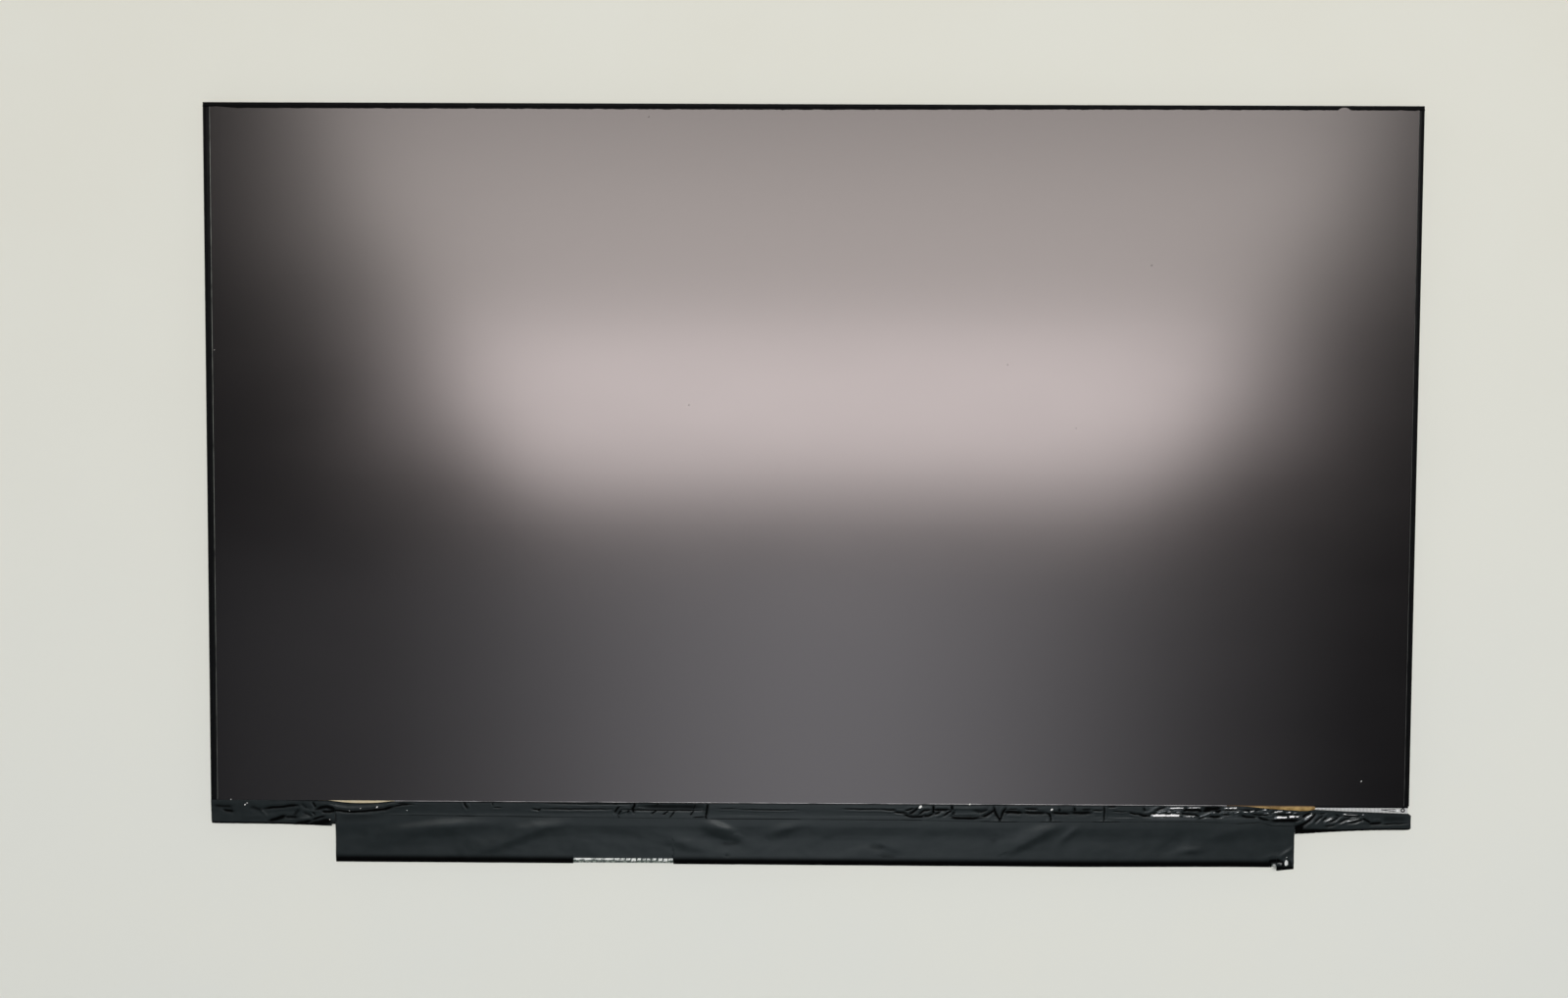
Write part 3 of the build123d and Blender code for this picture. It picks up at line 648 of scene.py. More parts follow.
# Receptacle for the signal cable: a black moulded housing with a row of gold-plated contacts, under a
# folded shell of nickel-plated steel that is soldered down at both ends.
def plated_steel(wire):
    brushing = lumps(wire, 6.0, 3.0, (1.0, 0.05, 1.0))
    return {
        "Base Color": brushing.mix(tint(168, 166, 160), tint(206, 204, 198)),
        "Metallic": 1.0,
        "Roughness": 0.22 + 0.2 * brushing,
        "Normal": relief(wire, brushing, 0.003),
    }


def gold_plating(wire):
    wear_and_shade = lumps(wire, 7.0, 3.0)
    return {
        "Base Color": wear_and_shade.mix(tint(206, 164, 84), tint(236, 202, 126)),
        "Metallic": 1.0,
        "Roughness": 0.18 + 0.2 * wear_and_shade,
    }


dress(finish(eroded_plastic, "receptacle_plastic"), "connector_housing")
dress(finish(gold_plating), "connector_contacts")
dress(finish(plated_steel), "connector_shell")

# Rear film: black polyester formed into a shallow pan over the components, with a satin face.
# It is stuck to the board round three sides and has small dents where parts press on it.
def formed_film(wire):
    dents = lumps(wire, 0.16, 3.0)
    grain = lumps(wire, 6.0, 2.0)
    return {
        "Base Color": dents.mix(tint(17, 18, 18), tint(27, 28, 28)),
        "Roughness": 0.3 + 0.15 * dents + 0.08 * grain,
        "Normal": relief(wire, dents + 0.03 * grain, 0.4),
    }


dress(finish(formed_film), "rear_film")

# Top edge tape: black polyester folded over the upper rim. It was trimmed by hand along the glass, so
# its lower edge wanders, lapping onto the screen's film towards the left. One bite near the right end
# bares a raised tab of that film.
top_low, top_high = span("top_edge_tape")
edge_film = 0.1
trim_reach = 0.5
trim_waver = 0.12
trim_nick = 0.1
trim_overlap = 0.33
overlap_start = (-154.0, -149.0)
overlap_end = (-20.0, 100.0)
step_before = 0.3
step_run = 0.2
flange_lift = 0.02
film_weld = 0.0005
bite_center = 137.2
bite_half = 1.7
bite_depth = 0.68
tab_share = 0.9
tab_step = 0.4


def film(name, columns, rows, point, keep):
    """A thin film as a grid of quads: point gives each crossing's place and the film's polish and painted
    shade there, from -1 where it is polished to 1 where it is fully darkened with painted shade, and keep
    says which quads stay."""
    shell = bmesh.new()
    polish_and_shade = shell.verts.layers.float.new("polish_and_shade")
    grid = []
    for row in rows:
        grid.append([])
        for column in columns:
            place, wear_and_shade = point(column, row)
            corner = shell.verts.new(Vector(place) * mm)
            corner[polish_and_shade] = wear_and_shade
            grid[-1].append(corner)
    for upper in range(len(rows) - 1):
        for left in range(len(columns) - 1):
            middle = (columns[left] + columns[left + 1]) / 2, (rows[upper] + rows[upper + 1]) / 2
            if keep(*middle):
                above, below = grid[upper], grid[upper + 1]
                shell.faces.new((below[left], below[left + 1], above[left + 1], above[left]))
    loose = [corner for corner in shell.verts if not corner.link_faces]
    bmesh.ops.delete(shell, geom=loose, context="VERTS")
    bmesh.ops.remove_doubles(shell, verts=shell.verts, dist=film_weld * mm)
    mesh = bpy.data.meshes.new(name)
    shell.to_mesh(mesh)
    shell.free()
    mesh.shade_smooth()
    return mesh


def thicken(piece, thickness):
    """Gives a film its thickness, measured down from its face."""
    solid = piece.modifiers.new("thickness", "SOLIDIFY")
    solid.thickness = thickness * mm
    solid.offset = -1.0


def even(start, end, size):
    """Evenly spaced values from start to end, about size apart."""
    count = max(1, round(abs(end - start) / size))
    return [start + (end - start) * index / count for index in range(count + 1)]


def ripple(x, y, size_x, size_y, seed=0.0):
    """Smooth noise from -1 to 1, with lumps of the given length and width."""
    return noise.noise(Vector((x / size_x, y / size_y, seed)))


def bite(x):
    """How far the bite in the top tape reaches up at x."""
    return bite_depth * max(0.0, 1.0 - ((x - bite_center) / bite_half) ** 2)


def top_tape_point(x, row):
    """Rows 0 to 1 run up the flange to the fold, and rows 1 to 2 run down the cover's wall."""
    waver = trim_waver * ripple(x, 0, 3.0, 1.0) + trim_nick * ripple(x, 5, 0.9, 1.0)
    overlap = trim_overlap * ease(x, *overlap_start) * (1.0 - ease(x, *overlap_end))
    trim = top_low.y - trim_reach - overlap + waver + bite(x)
    if row <= 1.0:
        y = trim + (top_high.y - trim) * row
        onto_film = ease(screen_high.y + step_before - y, 0.0, step_run)
        step = (screen_high.z + edge_film - top_high.z) * onto_film
        lift = step + flange_lift * ripple(x, row, 4.0, 1.0, 2.0) * (1.0 - row)
        return (x, y, top_high.z + lift), 0.0
    return (x, top_high.y, top_high.z + (top_low.z - top_high.z) * (row - 1.0)), 0.0


trim_step = 0.35
top_columns = even(top_low.x, top_high.x, trim_step)
wrap_rows = [2.0, 1.4, 1.05, 1.0, 0.9, 0.6, 0.45, 0.3, 0.15, 0.0]
top_mesh = film("top_tape", top_columns, wrap_rows, top_tape_point, lambda x, row: True)
top_tape = place_mesh("top_tape", top_mesh, edge_tape_finish, "top_edge_tape")
thicken(top_tape, edge_film)

tab = bmesh.new()
tab_columns = even(bite_center + bite_half, bite_center - bite_half, tab_step)
tab_crown = [(x, screen_high.y + tab_share * bite(x)) for x in tab_columns]
add_slab(tab, tab_crown, border_z, screen_high.z)
place_shell("screen_film_tab", tab, anti_glare_finish)

# Board tape: thin black tape laid over the driver films and the board and rolled round its lower edge.
# It bridges the step from glass to board in long soft swells, is cut out at the receptacle, and is
# torn at the right corner, where a flap hangs down with the tooling hole poked through it.
tape_low, tape_high = span("board_tape")
film_top_z = span("driver_film_1")[1].z
tape_film = 0.05
tape_gap = 0.06
tape_lap = 1.0
tape_top_y = span("array_glass")[0].y + tape_lap
tape_glass_z = film_top_z + tape_film + tape_gap
tape_board_lift = 0.2
tape_board_z = board_high.z + tape_board_lift
bridge_start = 93.4
bridge_end = 98.0
settle_start = 91.4
settle_end = 95.2
swell_gain = 1.15
swell_ends = 0.35
creep_broad = 0.08
creep_fine = 0.026
roll_width = 1.6
roll_drop = 0.14
roll_shading = (0.6, 2.9)
hem_z = tape_low.z
hem_lap = 0.9
torn_left = 122.3
flap_left = 123.6
flap_tip_y = -105.5
flap_rise = 0.5
flap_ragged = 0.08
flap_drop = 0.25
flap_bend = (104.3, 105.6)
flap_curl = 0.12
flap_curled = (101.5, 103.0)
flap_shaded = (103.6, 104.6)
bite_top_y = -103.6
bite_drop = 0.5
bite_ragged = 0.15
hole_center = (126.2, -103.35)
hole_half = (0.5, 0.9)
hole_rim = (0.8, 1.2)
board_edge = (
    (-126.0, -104.46), (-84.0, -104.5), (-6.0, -104.64), (71.0, -104.75), (110.0, -104.5), (129.0, -104.5),
)
tape_bed = ((92.0, 2.11), (94.3, 2.11), (96.6, 1.88), (98.0, 1.8), (106.0, 1.8))
bed_softness = 0.08
# Each swell runs from one place to another, with its width above and below the run, and its height.
soft_swells = (
    ((-116.0, -97.4), (-80.0, -91.4), 1.6, 2.8, 0.44),
    ((-90.0, -102.4), (-64.0, -92.4), 2.6, 1.8, 0.42),
    ((-56.0, -95.6), (-46.0, -97.6), 1.3, 1.3, -0.14),
    ((-28.4, -91.8), (-19.8, -95.8), 0.8, 2.4, 0.42),
    ((-27.0, -97.4), (-17.6, -100.2), 1.5, 1.5, -0.24),
    ((-38.0, -97.4), (-28.0, -100.4), 2.0, 1.6, 0.2),
    ((-12.0, -96.8), (-1.0, -92.8), 1.6, 1.6, 0.2),
    ((3.0, -100.6), (27.0, -93.0), 2.3, 2.1, -0.4),
    ((17.0, -99.2), (23.0, -102.2), 0.9, 0.9, -0.16),
    ((53.0, -100.4), (66.5, -93.0), 2.6, 1.4, 0.34),
    ((66.0, -98.4), (71.5, -93.6), 1.0, 1.0, 0.14),
    ((74.0, -96.0), (84.0, -98.8), 1.6, 1.6, -0.22),
    ((93.4, -100.6), (99.6, -96.2), 1.1, 1.3, -0.22),
    ((98.6, -100.2), (103.6, -100.0), 0.9, 0.9, 0.15),
    ((104.0, -97.0), (118.0, -93.6), 1.8, 1.8, 0.16),
    ((124.6, -101.6), (127.9, -99.4), 0.5, 0.5, 0.14),
)
crease_depth = 0.13
crease_steepness = 0.5
crease_spread = 1.45
crease_margin = 1.5
crease_reach = 4.0
crease_shading = 1.25
shoulder_place = 2.4
shoulder_share = 0.4
end_share = 0.4
end_gain = 3.0
# Each crease has half its width, how dark its painted shade is, and the places that it runs through; the
# wide, weak ones are soft patches of painted shade.
tear_creases = (
    (0.4, 1.0, ((121.2, -103.3), (122.4, -102.9), (124.0, -102.8), (124.9, -103.2))),
    (0.3, 0.8, ((124.8, -102.6), (125.3, -103.6), (125.4, -104.4))),
    (0.25, 0.6, ((126.9, -102.6), (127.4, -103.6), (127.2, -104.4))),
    (0.5, 0.35, ((-23.4, -99.0), (-20.6, -99.2), (-18.0, -98.8))),
    (0.5, 0.3, ((16.0, -99.6), (18.0, -99.9), (20.2, -100.0))),
    (0.7, 0.35, ((18.8, -102.2), (21.0, -102.4), (23.4, -102.8))),
    (0.8, 0.3, ((-124.6, -92.7), (-119.0, -92.5), (-113.0, -92.0))),
    (0.3, 0.5, ((-21.8, -102.3), (-21.2, -102.2))),
    (0.6, 0.25, ((48.0, -98.2), (50.0, -97.8))),
    (0.6, 0.25, ((99.4, -101.0), (102.8, -100.9))),
)


def follow(x, corners):
    """The height at x of the line through the given corners."""
    for (left, low), (right, high) in zip(corners, corners[1:]):
        if x <= right:
            return low + (high - low) * (x - left) / (right - left)
    return corners[-1][1]


def beside(x, y, start, end):
    """Where a point lies by the run from start to end: its share of the length, held between 0 and 1,
    its gap from the run, and how far it lies to the run's left."""
    run_x, run_y = end[0] - start[0], end[1] - start[1]
    length = math.hypot(run_x, run_y)
    share = ((x - start[0]) * run_x + (y - start[1]) * run_y) / length**2
    held = min(max(share, 0.0), 1.0)
    left = ((y - start[1]) * run_x - (x - start[0]) * run_y) / length
    return held, math.hypot(left, (share - held) * length), left


def swell(x, y, start, end, above, below):
    """Height, from 0 to 1, of a soft ridge that runs from start to end and fades at both."""
    held, gap, left = beside(x, y, start, end)
    width = above if left > 0.0 else below
    return math.exp(-((gap / width) ** 2)) * (swell_ends + (1.0 - swell_ends) * math.sin(math.pi * held))


def creased(x, y, creases):
    """How deep the given creases fold the film at a point, below 0 on their raised shoulders, and how dark
    the painted shade in their grooves is there."""
    depth = painted_shade = 0.0
    for thin, dark, places in creases:
        half = crease_spread * thin
        first, last = sorted((places[0][0], places[-1][0]))
        if not first - crease_margin < x < last + crease_margin:
            continue
        runs = [beside(x, y, start, end)[:2] for start, end in zip(places, places[1:])]
        gap = min(run[1] for run in runs)
        if gap < crease_reach * half:
            nearest = [run[1] for run in runs].index(gap)
            share = (nearest + runs[nearest][0]) / len(runs)
            mark = dark * min(1.0, end_share + end_gain * min(share, 1.0 - share))
            groove = math.exp(-((gap / half) ** 2))
            shoulder = math.exp(-(((gap - shoulder_place * half) / half) ** 2))
            deepest = mark * min(crease_steepness * half, crease_depth)
            fold = deepest * (groove - shoulder_share * shoulder)
            depth = fold if abs(fold) > abs(depth) else depth
            # Painted shade: the groove is darkened, as shade falls in a crease.
            painted_shade = max(painted_shade, min(1.0, crease_shading * mark * groove))
    return depth, painted_shade


def tape_bottom(x):
    """The lower edge of the board tape."""
    if notch_left < x < notch_right:
        return notch_top
    if x < torn_left:
        return follow(x, board_edge)
    if x < flap_left:
        drop = bite_drop * ease(x, flap_left - bite_drop, flap_left)
        return bite_top_y - drop + bite_ragged * ripple(x, 0, 0.35, 1.0)
    rise = flap_rise * (x - flap_left) / (tape_high.x - flap_left)
    return flap_tip_y + rise + flap_ragged * ripple(x, 4, 0.5, 1.0)


def tape_height(x, y):
    """The face of the board tape above the rest plane."""
    bridge = tape_glass_z + (tape_board_z - tape_glass_z) * ease(-y, bridge_start, bridge_end)
    waves = sum(rise * swell(x, y, *run) for *run, rise in soft_swells)
    creep = creep_broad * ripple(x, y, 9.0, 5.0) + creep_fine * ripple(x, y, 2.6, 1.6, 3.0)
    settled = swell_gain * ease(-y, settle_start, settle_end)
    bed = follow(-y, tape_bed) + tape_gap + tape_film
    clear = bridge + (waves + creep) * settled - bed
    return bed + 0.5 * (clear + math.hypot(clear, bed_softness))


def tape_point(x, row):
    """A point of the board tape and its painted shade: rows 0 to 1 run down the face to the fold, and rows 1
    to 3 run round the fold and under the board."""
    bottom = tape_bottom(x)
    torn = x >= torn_left or notch_left < x < notch_right
    y = tape_top_y + (bottom - tape_top_y) * min(row, 1.0)
    depth, painted_shade = creased(x, y, tear_creases)
    face = tape_height(x, y) - depth
    if not torn:
        rolled = min(max(1.0 - (y - bottom) / roll_width, 0.0), 1.0)
        face -= roll_drop * rolled**2
        face = max(face, board_high.z + tape_gap)
        # Painted shade: the tape darkens towards its rolled lower edge.
        painted_shade = max(painted_shade, 1.0 - ease(y - bottom, *roll_shading))
    if x > flap_left:
        curl = flap_curl * ripple(x, y, 1.4, 1.0, 6.0) * ease(-y, *flap_curled)
        face += curl - flap_drop * ease(-y, *flap_bend)
        # Painted shade on the lower part of the hanging flap.
        painted_shade = max(painted_shade, ease(-y, *flap_shaded))
    if row > 2.0:
        return (x, bottom + hem_lap * (row - 2.0), hem_z), 0.0
    # Painted shade: the fold round the board's edge is fully darkened.
    if row > 1.0:
        return (x, bottom, face + (hem_z - face) * (row - 1.0)), 1.0
    reach_x, reach_y = x - hole_center[0], y - hole_center[1]
    reach = math.hypot(reach_x / hole_half[0], reach_y / hole_half[1])
    if hole_rim[0] < reach < hole_rim[1]:
        return (hole_center[0] + reach_x / reach, hole_center[1] + reach_y / reach, face), painted_shade
    return (x, y, face), painted_shade


def tape_kept(x, row):
    """Leaves out the hole, and the fold where the tape is cut or torn."""
    if row > 1.0:
        return x < torn_left and not notch_left < x < notch_right
    y = tape_top_y + (tape_bottom(x) - tape_top_y) * row
    return math.hypot((x - hole_center[0]) / hole_half[0], (y - hole_center[1]) / hole_half[1]) > 1.0


def matt_tape(wire):
    # The film's attribute holds its polish below 0 and its painted shade above 0.
    wear_and_shade = wire.node("Attribute", {"attribute_name": "polish_and_shade"}, output="Fac")
    polish = wear_and_shade.rise(0.0, -1.0)
    grain = lumps(wire, 5.0, 2.0)
    scuffs = lumps(wire, 0.35, 5.0)
    clean = {
        "Base Color": scuffs.mix(tint(23, 28, 29), tint(33, 38, 39)),
        "Roughness": 0.28 + 0.06 * scuffs + 0.03 * grain,
        "Specular IOR Level": 0.2,
        "Specular Tint": (0.94, 1.0, 1.0, 1.0),
        "Coat Weight": polish,
        "Coat Roughness": 0.07,
        "Coat IOR": 1.95,
        "Normal": relief(wire, grain, 0.008),
    }
    # Painted shade: a near-black matt surface, mixed in where the attribute is above 0, darkens the creases,
    # folds, rolled edges and the strips under lifted edges.
    shade_sockets = {
        "Base Color": scuffs.mix(tint(2, 2, 2), tint(7, 8, 8)),
        "Roughness": 0.9,
        "Specular IOR Level": 0.02,
    }
    face = wire.node("BsdfPrincipled", {}, clean)
    shade = wire.node("BsdfPrincipled", {}, shade_sockets)
    return wire.node("MixShader", {}, {0: wear_and_shade.rise(0.0, 1.0), 1: face, 2: shade})


matt_tape_finish = finish(matt_tape)
tape_step = 0.5
torn_step = 0.1
seam = 0.02
tear_lead = 1.0
tear_start = torn_left - tear_lead
board_columns = (
    even(tape_low.x, notch_left - seam, tape_step)
    + even(notch_left + seam, notch_right - seam, tape_step)
    + even(notch_right + seam, tear_start, tape_step)
    + even(tear_start + torn_step, torn_left - seam, torn_step)
    + even(torn_left + seam, flap_left - seam, torn_step)
    + even(flap_left + seam, tape_high.x, torn_step)
)
face_rows = even(0.0, 0.7, 0.025)
roll_rows = even(0.71, 1.0, 0.0085)
hem_rows = even(1.25, 2.0, 0.25) + even(2.25, 3.0, 0.25)
board_rows = face_rows + roll_rows + hem_rows
board_mesh = film("board_cover_tape", board_columns, board_rows, tape_point, tape_kept)
board_cover_tape = place_mesh("board_cover_tape", board_mesh, matt_tape_finish, "board_tape")
thicken(board_cover_tape, tape_film)

# Torn liner: shreds of the tape's pale paper liner, left in the poked hole and along the tear.
# Each is a flat scrap with a ragged outline.
liner_sides = 14
liner_height = 0.06
liner_ragged = 0.3
poked_share = (0.9, 0.85)
poked_scrap = (125.2, 125.6)
bitten_scrap = (123.4, 123.6)
bitten_clean = 0.4
# Each scrap has its middle, half its width and depth, and the height that it lies at.
liner_scraps = (
    (*hole_center, poked_share[0] * hole_half[0], poked_share[1] * hole_half[1], board_high.z),
    (124.4, -103.5, 0.7, 0.3, tape_height(124.4, -103.5)),
    (123.05, -103.98, 0.44, 0.32, board_high.z),
)


def paper_liner(wire):
    across = where(wire, "X")
    fibres = lumps(wire, 6.0, 3.0, (1.0, 0.3, 1.0))
    clean = across.rise(*poked_scrap) + bitten_clean * (1.0 - across.rise(*bitten_scrap))
    soiled = fibres.mix(tint(70, 72, 72), tint(128, 128, 126))
    return {
        "Base Color": clean.mix(soiled, fibres.mix(tint(196, 196, 192), tint(232, 232, 230))),
        "Roughness": 0.5 + 0.2 * fibres,
        "Normal": relief(wire, fibres, 0.03),
    }


liner = bmesh.new()
for scrap_x, scrap_y, half_x, half_y, base in liner_scraps:
    ragged = []
    for index in range(liner_sides):
        turn = 2 * math.pi * index / liner_sides
        torn = 1.0 + liner_ragged * ripple(index, scrap_x, 1.7, 1.0)
        ragged.append((scrap_x + half_x * torn * math.cos(turn), scrap_y + half_y * torn * math.sin(turn)))
    add_slab(liner, ragged, base, base + liner_height)
place_shell("torn_liner", liner, finish(paper_liner))

# Chin tape: black tape from the polarizer's edge down over the ledge, lapped on the board tape. Beside
# the board it folds down the cover's walls. It has been peeled and pressed back: creased across, pulled
# short of the amber strip at two places, and crushed into glossy folds towards the right end.
chin_film = 0.05
body_left = span("left_edge_tape")[0].x
body_right = span("right_edge_tape")[1].x
body_bottom = span("back_cover")[0].y - edge_film
strip_thickness = 0.06
strip_ledge_z = film_top_z + strip_thickness
strip_step = (88.4, 89.6)
strip_margins = (0.3, 0.1)
strip_ends = (strip_low.x - strip_margins[0], strip_high.x + strip_margins[1])
chin_clearance = 0.02
chin_border_lift = 0.11
chin_border_z = strip_high.z + chin_border_lift
chin_ledge_lift = 0.13
chin_ledge_z = strip_ledge_z + chin_ledge_lift
chin_fall = 88.2
chin_foot = 91.6
steep_span = (-45.6, -27.2)
steep_fade = 1.0
steep_rise = 1.5
leg_end_z = 0.4
leg_drop = chin_ledge_z - leg_end_z
lap_margin = 0.05
lap_span = (tape_low.x - lap_margin, tape_high.x + lap_margin)
lip_left = -126.1
stub_reach = 0.65
stub_start = 154.0
stub_upper = (89.9, 90.5)
stub_lower = (93.9, 94.4)
over_share = 0.15
over_drop = 0.12
back_share = 0.35
back_drop = 0.14
left_lip_ragged = 0.05
lap_ragged = 0.03
right_lip_ragged = 0.06
ragged_edge = 0.02
crushed_edge = 0.05
crushed_edge_span = (84.0, 110.0)
chin_edge = (
    (-158.0, -87.93), (-126.8, -87.93), (-125.6, -88.08), (-123.6, -88.35), (-120.5, -88.6), (-116.0, -88.6),
    (-113.8, -88.5), (-112.0, -88.3), (-110.6, -88.12), (-109.6, -88.06), (110.0, -88.06), (113.0, -88.08),
    (115.4, -88.18), (120.0, -88.65), (124.0, -88.95), (127.0, -89.15), (129.5, -89.3),
    (131.4, -89.25), (133.2, -88.95), (135.0, -89.05), (142.0, -89.4), (150.0, -89.65), (158.0, -89.95),
)
lap_edge = (
    (-127.0, -91.7), (-106.0, -91.85), (-84.0, -92.05), (-26.0, -92.4), (25.0, -92.4), (50.0, -92.75),
    (79.0, -92.6), (100.0, -92.4), (113.0, -92.9), (119.0, -92.5), (122.0, -93.4), (130.0, -93.6),
)
left_lip_edge = ((-158.0, -94.02), (-157.6, -94.2), (-157.0, -94.3), (-140.0, -94.4), (-126.0, -94.8))
right_lip_edge = ((128.0, -95.5), (143.6, -94.62), (150.0, -94.4), (158.6, -94.3))
valley_line = (
    (-129.5, -89.6), (-127.2, -90.2), (-122.0, -90.9), (-118.0, -90.8), (-112.0, -90.2), (-109.4, -89.4),
)
arch_span = (-127.5, -109.5)
arch_fade = 2.5
arch_height = 0.2
arch_half = 0.75
# Each lifted length of the tape's lower edge has its two ends, and how dark its shadow is.
lap_shadows = (
    (-106.0, -94.0, 0.4), (-93.4, -87.6, 0.9), (-87.6, -80.5, 0.35), (-80.0, -70.2, 0.8),
    (-25.6, -2.0, 0.85), (3.0, 24.0, 0.6), (24.0, 30.0, 0.9), (45.0, 55.0, 1.0), (61.0, 67.0, 1.0),
    (74.8, 82.0, 1.0), (88.0, 104.0, 0.4), (113.0, 119.0, 0.8), (120.0, 127.8, 0.6),
)
shadow_fade = 1.0
shadow_width = (0.06, 0.3)
lifted_places = (50.6, 63.8, 77.9)
lifted_half = 2.8
lifted_height = 0.1
lifted_depth = 0.9
brink_shading = 0.8
brink_width = (0.08, 0.42)
brink_span = (-150.0, -126.0)
pinch_width = 0.5
pinch_widening = 0.8
pinch_widens = (100.0, 120.0)
pinch_narrows = (128.0, 144.0)
pinch_shading = (0.7, 1.3)
pinch_bend = 1.2
pinch_droop = 0.2
bend_x = 0.16
bend_y = 0.12
wave_height = 0.025
ripple_height = 0.012
